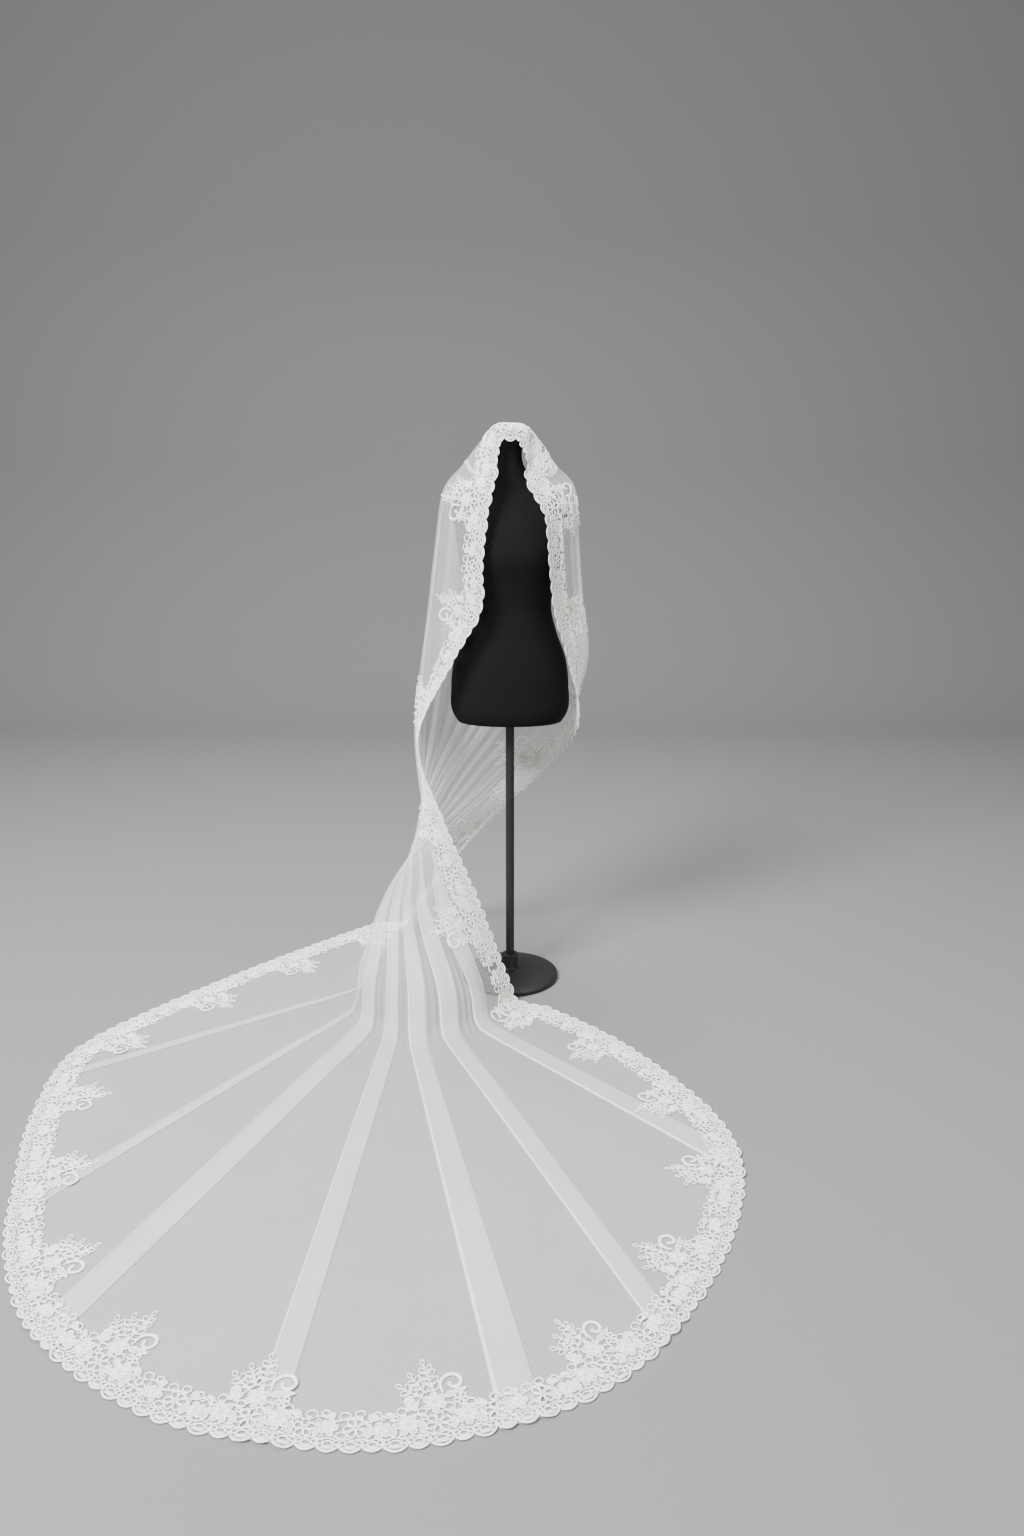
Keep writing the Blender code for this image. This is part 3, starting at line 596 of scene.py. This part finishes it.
def smooth_line(points, count):
    """A Catmull-Rom curve through the points."""
    points = np.array(points, float)
    points = np.vstack([2 * points[0] - points[1], points, 2 * points[-1] - points[-2]])
    at = np.linspace(0, len(points) - 3, count)
    span = np.minimum(at.astype(int), len(points) - 4)
    t = (at - span)[:, None]
    a, b, c, d = (points[span + k] for k in range(4))
    return 0.5 * (2 * b + (c - a) * t + (2 * a - 5 * b + 4 * c - d) * t**2 + (3 * b - a - 3 * c + d) * t**3)


def draw_scallops(pattern, taken):
    """The outer edge's rounded scallops, each with an eyelet and a loop on either side of it."""
    rim, start = [], 0.0
    for width in SCALLOPS:
        share = np.linspace(0, 1, 11)[:-1]
        depth = (SCALLOP_VALLEY - SCALLOP_TIP) * (0.75 + 0.25 * (width - 30) / 8)
        rim.append(np.column_stack([start + share * width, SCALLOP_VALLEY - depth * np.sin(math.pi * share) ** 0.6]))
        middle = start + width / 2
        beside = (middle - 0.36 * width, middle + 0.36 * width)
        pattern.cord(ellipse(middle, 7.5, 0.22 * width, 5.6, 12), FINE_CORD * 1.25, closed=True)
        for x in beside:
            pattern.cord(ellipse(x, 11.0, 4.0, 4.4, 9), FINE_CORD * 1.15, closed=True)
        pattern.cloth(ellipse(middle, 2.5, 0.34 * width, 4.0, 10))
        taken.append((middle, 7.5, 7.0))
        taken += [(x, 11.0, 4.5) for x in beside]
        start += width
    rim = np.vstack(rim + [[[REPEAT, SCALLOP_VALLEY]]])
    pattern.cord(rim, CORD * 1.35, height=CORD_HEIGHT * 1.2)
    x = np.linspace(0, REPEAT, 67)
    for middle, swing, length, width in BAND_LINES:
        pattern.cord(np.column_stack([x, middle + swing * np.sin(2 * math.pi * x / length)]), width)


def lace_pattern():
    """One repeat of the corded lace: scallops, flowers, lobed leaves, loops, a bouquet and its scroll."""
    pattern = Pattern()
    taken = []
    draw_scallops(pattern, taken)
    for x, v, radius, petals, turn, is_open in FLOWERS:
        ring = 0.26 * radius
        pattern.cloth(ellipse(x, v, ring, ring, 10), 1.0)
        pattern.cord(ellipse(x, v, ring, ring, 10), FINE_CORD, closed=True, height=1.9)
        for k in range(petals):
            angle = math.radians(turn) + 2 * math.pi * k / petals
            outline = petal(x, v, angle, ring, radius, 0.86 * math.pi / petals)
            pattern.cord(outline, CORD if is_open else CORD * 0.85)
            if not is_open:
                pattern.cloth(outline)
                vein = petal(x, v, angle, ring, ring + 0.5 * (radius - ring), 0.4 * math.pi / petals, 6)
                pattern.cord(vein, FINE_CORD * 0.7)
        taken.append((x, v, radius))
    for x0, v0, x1, v1, width, lobes in LEAVES:
        outline = leaf((x0, v0), (x1, v1), width, lobes)
        pattern.cloth(leaf((x0, v0), (x1, v1), width, lobes, 0.08))
        pattern.cord(outline, CORD * 0.9, closed=True)
        pattern.cord([(x0, v0), ((x0 + x1) / 2, (v0 + v1) / 2), (x1, v1)], FINE_CORD * 0.8, taper=True)
        taken.append(((x0 + x1) / 2, (v0 + v1) / 2, 0.40 * math.hypot(x1 - x0, v1 - v0)))
    for x0, v0, x1, v1, pairs, length in SPRIGS:
        pattern.cord([(x0, v0), ((x0 + x1) / 2, (v0 + v1) / 2), (x1, v1)], CORD)
        for outline in sprig((x0, v0), (x1, v1), pairs, length):
            pattern.cord(outline, CORD * 0.8, closed=True)
        taken.append(((x0 + x1) / 2, (v0 + v1) / 2, 0.5 * math.hypot(x1 - x0, v1 - v0)))
    for x, v, rx, rv in LOOPS:
        pattern.cord(ellipse(x, v, rx, rv), CORD, closed=True)
        taken.append((x, v, max(rx, rv)))
    pattern.cord(smooth_line(STEM, 12), CORD, taper=True)
    curl = [
        (SCROLL_MIDDLE[0] + r * math.cos(math.radians(a)), SCROLL_MIDDLE[1] + r * math.sin(math.radians(a)))
        for r, a in SCROLL
    ]
    pattern.cord(smooth_line(curl, 30), CORD * 2.4, taper=True, height=CORD_HEIGHT * 1.3)
    pattern.cord(ellipse(*curl[-1], 3.0, 3.0, 9), CORD, closed=True)
    taken.append((*SCROLL_MIDDLE, 20))
    fill_gaps(pattern, taken)
    return pattern


def fill_gaps(pattern, taken):
    """Small loops wherever the band or a bouquet's foot is still bare, on a jittered lattice."""
    chance = np.random.default_rng(FILLER_SEED)
    columns = int(REPEAT / FILLER_STEP)
    aside, inward = FILLER_JITTER
    for row in range(FILLER_ROWS):
        for column in range(columns):
            x = (column + 0.5 * (row % 2) + 0.5) * REPEAT / columns + chance.uniform(-aside, aside)
            v = FILLER_START + row * FILLER_STEP * FILLER_ROW_SHARE + chance.uniform(-inward, inward)
            foot = FOOT_HEIGHT * max(0.0, 1 - abs(x - FOOT_MIDDLE) / FOOT_HALF_WIDTH)
            top = BAND_END + 2 + 4 * math.sin(2 * math.pi * x / 50) + foot
            apart = [math.hypot(min(abs(x - a), REPEAT - abs(x - a)), v - b) - c for a, b, c in taken]
            if v > top or min(apart) < FILLER_ROOM:
                continue
            radius = FILLER_RADIUS * chance.uniform(0.75, 1.15)
            loop = ellipse(x, v, radius, radius * chance.uniform(0.7, 1.0), 9, chance.uniform(0, 3))
            pattern.cord(loop, FINE_CORD, closed=True)
            taken.append((x, v, radius * 0.5))


# Laying the lace on the sheet ---------------------------------------------------------------------------------
def layer_cover(across, along):
    """The height of the pleats' layers under the lace."""
    height = np.zeros(len(across))
    share = np.clip((along - FLOOR_LINE) / np.maximum(hem_along(across) - FLOOR_LINE, 1e-6), 0, 1)
    raised = row_factors(along)[0]
    for place, foot_width, hem_width in PLEATS:
        half_width = (foot_width + (hem_width - foot_width) * share) / 2
        aside = np.abs(across - place) * width_across(np.full(len(along), place), along)
        over = smooth((half_width + PLEAT_COVER_MARGIN + PLEAT_COVER_SLOPE - aside) / PLEAT_COVER_SLOPE)
        height = np.maximum(height, 2 * NET_LAYER_PITCH * raised * over)
    return height


def lace_bed():
    """The surface the lace lies on, as grids of points and unit normals: a row for each INSET_STEP in from the
    edge, starting two steps outside it, and a column for each place along the edge, round to the first again."""
    across, along = edge(LACE_COLUMNS_PER_REPEAT)
    paths, start = inset_paths(across, along)
    rows, columns = paths.shape[:2]
    flat_across, flat_along = paths[..., 0].ravel(), paths[..., 1].ravel()
    normals = raised_side(flat_across, flat_along)
    out = NET_LIFT + LACE_OVER_NET + fold_height(flat_across, flat_along) + layer_cover(flat_across, flat_along)
    points = (sheet(flat_across, flat_along) + normals * out[:, None]).reshape(rows, columns, 3)
    normals = normals.reshape(rows, columns, 3)
    outside = [points[0] - start * (INSET_STEP * step) for step in (2, 1)]
    points = np.concatenate([outside, points])
    normals = np.concatenate([normals[:1], normals[:1], normals])
    return np.concatenate([points, points[:, :1]], axis=1), np.concatenate([normals, normals[:, :1]], axis=1)


def lay(pattern, bed, first, last, turned_over):
    """The pattern's points, repeated from one repeat to another along the edge and laid on the bed. Turned over,
    each repeat runs the other way along the edge."""
    points, normals = bed
    flat = np.concatenate(pattern.points)
    if turned_over:
        flat = flat * (-1, 1, 1) + (REPEAT, 0, 0)
    x = np.concatenate([(flat[:, 0] / REPEAT + repeat) * LACE_COLUMNS_PER_REPEAT for repeat in range(first, last)])
    v = np.tile(flat[:, 1] / 1000 / INSET_STEP + 2, last - first)
    x = np.mod(x, points.shape[1] - 1)
    v = np.clip(v, 0, points.shape[0] - 1.001)
    i, j = v.astype(int), x.astype(int)
    s, t = (v - i)[:, None], (x - j)[:, None]

    def between(grid):
        """A grid's values at the pattern's points, mixed from the four grid points round each."""
        return (
            grid[i, j] * (1 - s) * (1 - t) + grid[i + 1, j] * s * (1 - t)
            + grid[i, j + 1] * (1 - s) * t + grid[i + 1, j + 1] * s * t
        )

    height = np.tile(flat[:, 2], last - first)[:, None] / 1000
    order = -1 if turned_over else 1
    faces = [
        tuple(i + repeat * len(flat) for i in face[::order])
        for repeat in range(last - first)
        for face in pattern.faces
    ]
    return between(points) + between(normals) * height, faces, pattern.kinds * (last - first)


# The form and its stand ---------------------------------------------------------------------------------------
TORSO = (
    (0.800, 0.150, 0.105, 0.010),
    (0.815, 0.160, 0.112, 0.010),
    (0.900, 0.168, 0.116, 0.008),
    (0.980, 0.158, 0.106, 0.004),
    (1.060, 0.130, 0.090, 0.000),
    (1.125, 0.116, 0.082, -0.002),
    (1.190, 0.126, 0.092, -0.004),
    (1.265, 0.142, 0.108, -0.010),
    (1.330, 0.150, 0.098, -0.004),
    (1.385, 0.158, 0.080, 0.004),
    (1.415, 0.150, 0.066, 0.008),
    (1.440, 0.112, 0.054, 0.008),
    (1.465, 0.066, 0.047, 0.004),
    (1.500, 0.041, 0.041, 0.002),
    (1.588, 0.037, 0.037, 0.000),
)
SECTION_SQUARENESS = 2.3
FORM_SIDES = 96
FORM_RINGS = 90
FORM_INSET = 0.0006
STAND_SIDES = 96
# Turned profiles, as radius and height.
CAP_PROFILE = (
    (0.0, 1.596), (0.0335, 1.596), (0.0362, 1.5953), (0.0378, 1.5935), (0.0380, 1.5915), (0.0380, 1.5883),
    (0.0, 1.5883),
)
POLE_PROFILE = ((0.0, 0.7997), (0.0125, 0.7997), (0.0125, 0.0753), (0.0, 0.0753))
BASE_PROFILE = (
    (0.0, 0.0750), (0.0225, 0.0750), (0.0238, 0.0742), (0.0240, 0.0730), (0.0240, 0.0345), (0.0246, 0.0325),
    (0.0280, 0.0302), (0.0360, 0.0280), (0.0600, 0.0254), (0.0870, 0.0225), (0.1150, 0.0187), (0.1405, 0.0141),
    (0.1432, 0.0131), (0.1446, 0.0115), (0.1450, 0.0095), (0.1450, 0.0012), (0.1438, 0.0), (0.0, 0.0),
)


def form_point(angles, heights):
    """Points of the form's surface: in each section a rounded box, whose sizes follow a smooth curve up TORSO."""
    table = np.array(TORSO)
    sizes = curve_through(table[:, 0], table[:, None, 1:], heights)
    power = 2.0 / SECTION_SQUARENESS
    side = np.sign(np.cos(angles)) * np.abs(np.cos(angles)) ** power
    front = np.sign(np.sin(angles)) * np.abs(np.sin(angles)) ** power
    half_width, half_depth = sizes[:, 0] - FORM_INSET, sizes[:, 1] - FORM_INSET
    return np.column_stack([half_width * side, sizes[:, 2] + half_depth * front, heights])


def form_faces(rings, sides):
    """Faces between rings of points, each closed round."""
    faces = []
    for ring in range(rings - 1):
        for i in range(sides):
            j = (i + 1) % sides
            faces.append((ring * sides + i, ring * sides + j, (ring + 1) * sides + j, (ring + 1) * sides + i))
    return faces


def form_cover():
    """The whole limbless form in one skin, its two ends closed by rings that turn in."""
    heights = np.linspace(TORSO[0][0], TORSO[-1][0], FORM_RINGS)
    angles = np.linspace(0, 2 * math.pi, FORM_SIDES, endpoint=False)
    rings = [form_point(angles, np.full(FORM_SIDES, height)) for height in heights]
    low, high = rings[0], rings[-1]
    ends = []
    for ring, shares in ((low, (0.0, 0.45, 0.90)), (high, (0.95, 0.5, 0.0))):
        middle = ring.mean(axis=0)
        ends.append([middle + (ring - middle) * share for share in shares])
    rings = ends[0] + rings + ends[1]
    return np.concatenate(rings), form_faces(len(rings), FORM_SIDES)


def turned(profile):
    """A solid turned about Z from (radius, height) pairs, listed from the top down its outer side."""
    angles = np.linspace(0, 2 * math.pi, STAND_SIDES, endpoint=False)
    round_z = np.column_stack([np.cos(angles), np.sin(angles), np.zeros(STAND_SIDES)])
    rings = [round_z * radius + (0, 0, height) for radius, height in profile[::-1]]
    return np.concatenate(rings), form_faces(len(rings), STAND_SIDES)


# Materials ----------------------------------------------------------------------------------------------------
class Nodes:
    """A material's nodes, built up by short calls. Each call returns the socket that it made."""

    def __init__(self, name):
        self.material = bpy.data.materials.new(name)
        self.material.use_nodes = True
        self.tree = self.material.node_tree
        self.shader = self.tree.nodes["Principled BSDF"]

    def node(self, kind, output=0, values=(), **settings):
        """A node of this kind, with its settings and with its sockets linked or set."""
        made = self.tree.nodes.new(kind)
        for key, value in settings.items():
            setattr(made, key, value)
        for socket, value in dict(values).items():
            if isinstance(value, bpy.types.NodeSocket):
                self.tree.links.new(value, made.inputs[socket])
            else:
                made.inputs[socket].default_value = value
        return made.outputs[output]

    def ramp(self, value, from_low, from_high, low, high):
        """A value between two numbers, spread out between two others and held at their ends."""
        span = {"From Min": from_low, "From Max": from_high, "To Min": low, "To Max": high}
        return self.node("ShaderNodeMapRange", 0, {"Value": value, **span})

    def math(self, operation, a, b=0.0, c=0.0):
        """Arithmetic on up to three values."""
        return self.node("ShaderNodeMath", 0, {0: a, 1: b, 2: c}, operation=operation)

    def spread(self, value, low, high):
        """A value from 0 to 1 spread out between two others."""
        return self.node("ShaderNodeMapRange", 0, {"Value": value, "To Min": low, "To Max": high})

    def mixed(self, share, first, second):
        """A colour mixed from two by a share from 0 to 1."""
        return self.node("ShaderNodeMix", 2, {0: share, 6: (*first, 1), 7: (*second, 1)}, data_type="RGBA")

    def noise(self, where, scale, detail=2.0):
        """Soft cloudy noise."""
        return self.node("ShaderNodeTexNoise", 0, {"Vector": where, "Scale": scale, "Detail": detail})

    def cells(self, where, scale, feature="F1"):
        """Irregular cells: the distance to their points or to their edges."""
        return self.node("ShaderNodeTexVoronoi", 0, {"Vector": where, "Scale": scale}, feature=feature)

    def place(self):
        """The place on the object."""
        return self.node("ShaderNodeTexCoord", 3)

    def bump(self, height, strength, distance):
        """A normal bumped by a height."""
        return self.node("ShaderNodeBump", 0, {"Height": height, "Strength": strength, "Distance": distance})

    def finish(self, **inputs):
        """Set or link the shader's own sockets and give the material."""
        for key, value in inputs.items():
            socket = self.shader.inputs[key.replace("_", " ")]
            if isinstance(value, bpy.types.NodeSocket):
                self.tree.links.new(value, socket)
            else:
                socket.default_value = value
        return self.material


def net_material():
    """Fine soft net: thin threads round open cells, a little denser in places, with a silky sheen."""
    nodes = Nodes("veil net")
    where = nodes.place()
    thread = nodes.cells(where, 620.0, "DISTANCE_TO_EDGE")
    cloud = nodes.noise(where, 5.0, 3.0)
    mesh = nodes.ramp(thread, 0.05, 0.20, NET_THREAD_ALPHA, NET_HOLE_ALPHA)
    plain = nodes.math("ADD", mesh, nodes.spread(cloud, -0.03, 0.03))
    doubled = nodes.node("ShaderNodeAttribute", 2, attribute_name=DOUBLED)
    alpha = nodes.math("MULTIPLY_ADD", doubled, DOUBLED_ALPHA, plain)
    return nodes.finish(
        Base_Color=nodes.mixed(cloud, (0.93, 0.925, 0.915), (0.97, 0.965, 0.955)),
        Roughness=nodes.spread(cloud, 0.5, 0.62),
        Alpha=alpha,
        Normal=nodes.bump(thread, 0.15, 0.0004),
        Sheen_Weight=0.25,
        Sheen_Roughness=0.4,
    )


def thread_material():
    """The lace's corded thread: ivory and twisted, with painted shade in its grooves."""
    nodes = Nodes("lace thread")
    where = nodes.place()
    strands = nodes.cells(where, 900.0)
    tone = nodes.noise(where, 40.0, 3.0)
    # The thread's colour: its random tone, times painted shade that darkens it where the strands' cells sink, in the
    # grooves.
    shade = nodes.math("MULTIPLY", tone, nodes.spread(strands, 0.9, 1.1))
    return nodes.finish(
        Base_Color=nodes.mixed(shade, (0.90, 0.87, 0.81), (0.99, 0.97, 0.925)),
        Roughness=nodes.spread(strands, 0.55, 0.75),
        Normal=nodes.bump(strands, 0.45, 0.0006),
        Sheen_Weight=0.3,
        Sheen_Roughness=0.5,
    )


def lace_cloth_material():
    """The lace's filled petals and leaves: close stitches that leave pinholes."""
    nodes = Nodes("lace cloth")
    where = nodes.place()
    stitches = nodes.cells(where, 700.0, "DISTANCE_TO_EDGE")
    tone = nodes.noise(where, 60.0, 2.0)
    alpha = nodes.ramp(stitches, 0.04, 0.45, STITCH_ALPHA, PINHOLE_ALPHA)
    return nodes.finish(
        Base_Color=nodes.mixed(tone, (0.68, 0.66, 0.61), (0.79, 0.775, 0.73)),
        Roughness=nodes.spread(tone, 0.65, 0.8),
        Alpha=alpha,
        Normal=nodes.bump(stitches, 0.4, 0.0005),
        Sheen_Weight=0.2,
    )


def jersey_material():
    """The form's black jersey: fine knit ribs, a little lint and a dull sheen."""
    nodes = Nodes("form jersey")
    where = nodes.place()
    ribs = nodes.node("ShaderNodeTexWave", 0, {"Vector": where, "Scale": 260.0, "Distortion": 1.5, "Detail": 2.0})
    lint = nodes.noise(where, 120.0, 5.0)
    return nodes.finish(
        Base_Color=nodes.mixed(lint, (0.0025, 0.0025, 0.0028), (0.006, 0.006, 0.0065)),
        Roughness=nodes.spread(lint, 0.82, 0.95),
        Normal=nodes.bump(ribs, 0.25, 0.0003),
        Specular_IOR_Level=0.12,
    )


def stand_material():
    """The stand's black powder coat: fine orange peel, and faint wear that shows as a change of gloss."""
    nodes = Nodes("stand coat")
    where = nodes.place()
    peel = nodes.noise(where, 420.0, 2.0)
    wear = nodes.noise(where, 14.0, 5.0)
    return nodes.finish(
        Base_Color=nodes.mixed(wear, (0.006, 0.006, 0.0065), (0.012, 0.012, 0.013)),
        Roughness=nodes.spread(wear, 0.38, 0.55),
        Metallic=0.0,
        Normal=nodes.bump(peel, 0.25, 0.0004),
        Coat_Weight=0.08,
        Specular_IOR_Level=0.35,
    )


def studio_material(name, tone):
    """Plain matt studio paper with a barely seen grain."""
    nodes = Nodes(name)
    grain = nodes.noise(nodes.place(), 30.0, 4.0)
    return nodes.finish(
        Base_Color=nodes.mixed(grain, (tone * 0.985,) * 3, (tone * 1.015,) * 3),
        Roughness=0.9,
        Specular_IOR_Level=0.2,
    )


# Pieces -------------------------------------------------------------------------------------------------------
NET_THREAD_ALPHA, NET_HOLE_ALPHA = 0.36, 0.07
# The net's attribute that is 1 where it lies doubled, and what that adds to its cover.
DOUBLED = "doubled"
DOUBLED_ALPHA = 0.50
STITCH_ALPHA, PINHOLE_ALPHA = 0.90, 0.42
FLOOR_TONE = 0.20
FLOOR_DROP = 0.0008


def new_piece(name, points, faces, materials, kinds=None, slot=None):
    """A mesh object from arrays, shaded smooth, with one material for each kind of face."""
    mesh = bpy.data.meshes.new(name)
    mesh.from_pydata(np.asarray(points).tolist(), [], faces)
    for material in materials:
        mesh.materials.append(material)
    if kinds is not None:
        mesh.polygons.foreach_set("material_index", kinds)
    mesh.polygons.foreach_set("use_smooth", [True] * len(mesh.polygons))
    mesh.update()
    piece = bpy.data.objects.new(name, mesh)
    bpy.context.scene.collection.objects.link(piece)
    if slot:
        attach(piece, "root")
    return piece


def grid_faces(columns, rows):
    """Faces of a grid of points, turned so that they face away from the form and up from the floor."""
    index = np.arange(columns * rows).reshape(columns, rows)
    corners = (index[:-1, :-1], index[1:, :-1], index[1:, 1:], index[:-1, 1:])
    return np.stack([c.ravel() for c in corners], axis=1).tolist()


def build_net():
    """The net: one sheet, which stands for the tulle's solid."""
    grid, doubled = net_grid()
    columns, rows = doubled.shape
    net = new_piece("veil_net", grid.reshape(-1, 3), grid_faces(columns, rows), [net_material()], slot="tulle")
    net.data.attributes.new(DOUBLED, "FLOAT", "POINT").data.foreach_set("value", doubled.ravel())
    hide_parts("veil_tulle")
    return net


def build_lace():
    """The lace in four pieces, which together stand for the border's solid."""
    pattern, bed = lace_pattern(), lace_bed()
    materials = [thread_material(), lace_cloth_material()]
    pieces = []
    for name, first, last, turned_over in LACE_PARTS:
        points, faces, kinds = lay(pattern, bed, first, last, turned_over)
        pieces.append(new_piece(name, points, faces, materials, kinds, "lace"))
    for piece in pieces:
        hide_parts("veil_lace_border")
    return pieces


def build_form():
    """The covered form, its neck cap and its stand."""
    jersey, coat = jersey_material(), stand_material()
    cover = new_piece("dress_form", *form_cover(), [jersey], slot="form_cover")
    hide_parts("form_torso")
    for name, node, profile in (
        ("neck_cap", "form_neck_cap", CAP_PROFILE),
        ("stand_pole", "form_pole", POLE_PROFILE),
        ("stand_base", "form_base", BASE_PROFILE),
    ):
        piece = new_piece(name, *turned(profile), [coat], slot="stand")
        piece.data.set_sharp_from_angle(angle=math.radians(50))
        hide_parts(node)


def build_studio():
    """A floor that turns up into a wall behind, three soft lights and a pale sky."""
    paper = studio_material("studio paper", FLOOR_TONE)
    half, back, bend, top = 9.0, 5.0, 1.6, 7.0
    turn = np.linspace(0, math.pi / 2, 17)
    profile = [(-9.0, -FLOOR_DROP), (back - bend, -FLOOR_DROP)]
    profile += [(back - bend + bend * math.sin(a), bend - bend * math.cos(a) - FLOOR_DROP) for a in turn[1:]]
    profile += [(back, top)]
    points = [(x, y, z) for y, z in profile for x in (-half, half)]
    faces = [(2 * i, 2 * i + 1, 2 * i + 3, 2 * i + 2) for i in range(len(profile) - 1)]
    new_piece("studio_floor", points, faces, [paper])
    lights = (
        ("key_light", (-2.6, -3.2, 4.2), (-0.2, -0.4, 0.8), 1.8, 760.0),
        ("fill_light", (3.6, -2.6, 3.0), (-0.1, -0.4, 0.8), 3.0, 120.0),
        ("top_light", (-0.3, 1.2, 4.6), (-0.3, -0.5, 0.3), 2.4, 220.0),
    )
    for name, where, target, size, power in lights:
        light = bpy.data.lights.new(name, "AREA")
        light.size, light.energy = size, power
        lamp = bpy.data.objects.new(name, light)
        lamp.location = where
        run = np.array(target) - np.array(where)
        lamp.rotation_euler = (math.acos(-run[2] / np.linalg.norm(run)), 0, math.atan2(-run[0], run[1]))
        bpy.context.scene.collection.objects.link(lamp)
    world = bpy.context.scene.world or bpy.data.worlds.new("studio")
    bpy.context.scene.world = world
    world.use_nodes = True
    world.node_tree.nodes["Background"].inputs["Color"].default_value = (0.86, 0.88, 0.90, 1)
    world.node_tree.nodes["Background"].inputs["Strength"].default_value = 0.45


def build_camera():
    """Eye height, looking a little down, as wide as the whole train needs."""
    data = bpy.data.cameras.new("camera")
    data.lens, data.sensor_width, data.sensor_fit = 1067 / 1536 * 36, 36, "AUTO"
    camera = bpy.data.objects.new("camera", data)
    camera.location = (0.006, -3.0, 1.45)
    camera.rotation_euler = (math.radians(90 - 14.8), 0, 0)
    bpy.context.scene.collection.objects.link(camera)
    bpy.context.scene.camera = camera


def main():
    build_camera()
    net = build_net()
    lace = build_lace()
    build_form()
    build_studio()
    bpy.context.scene.cycles.transparent_max_bounces = 32


main()
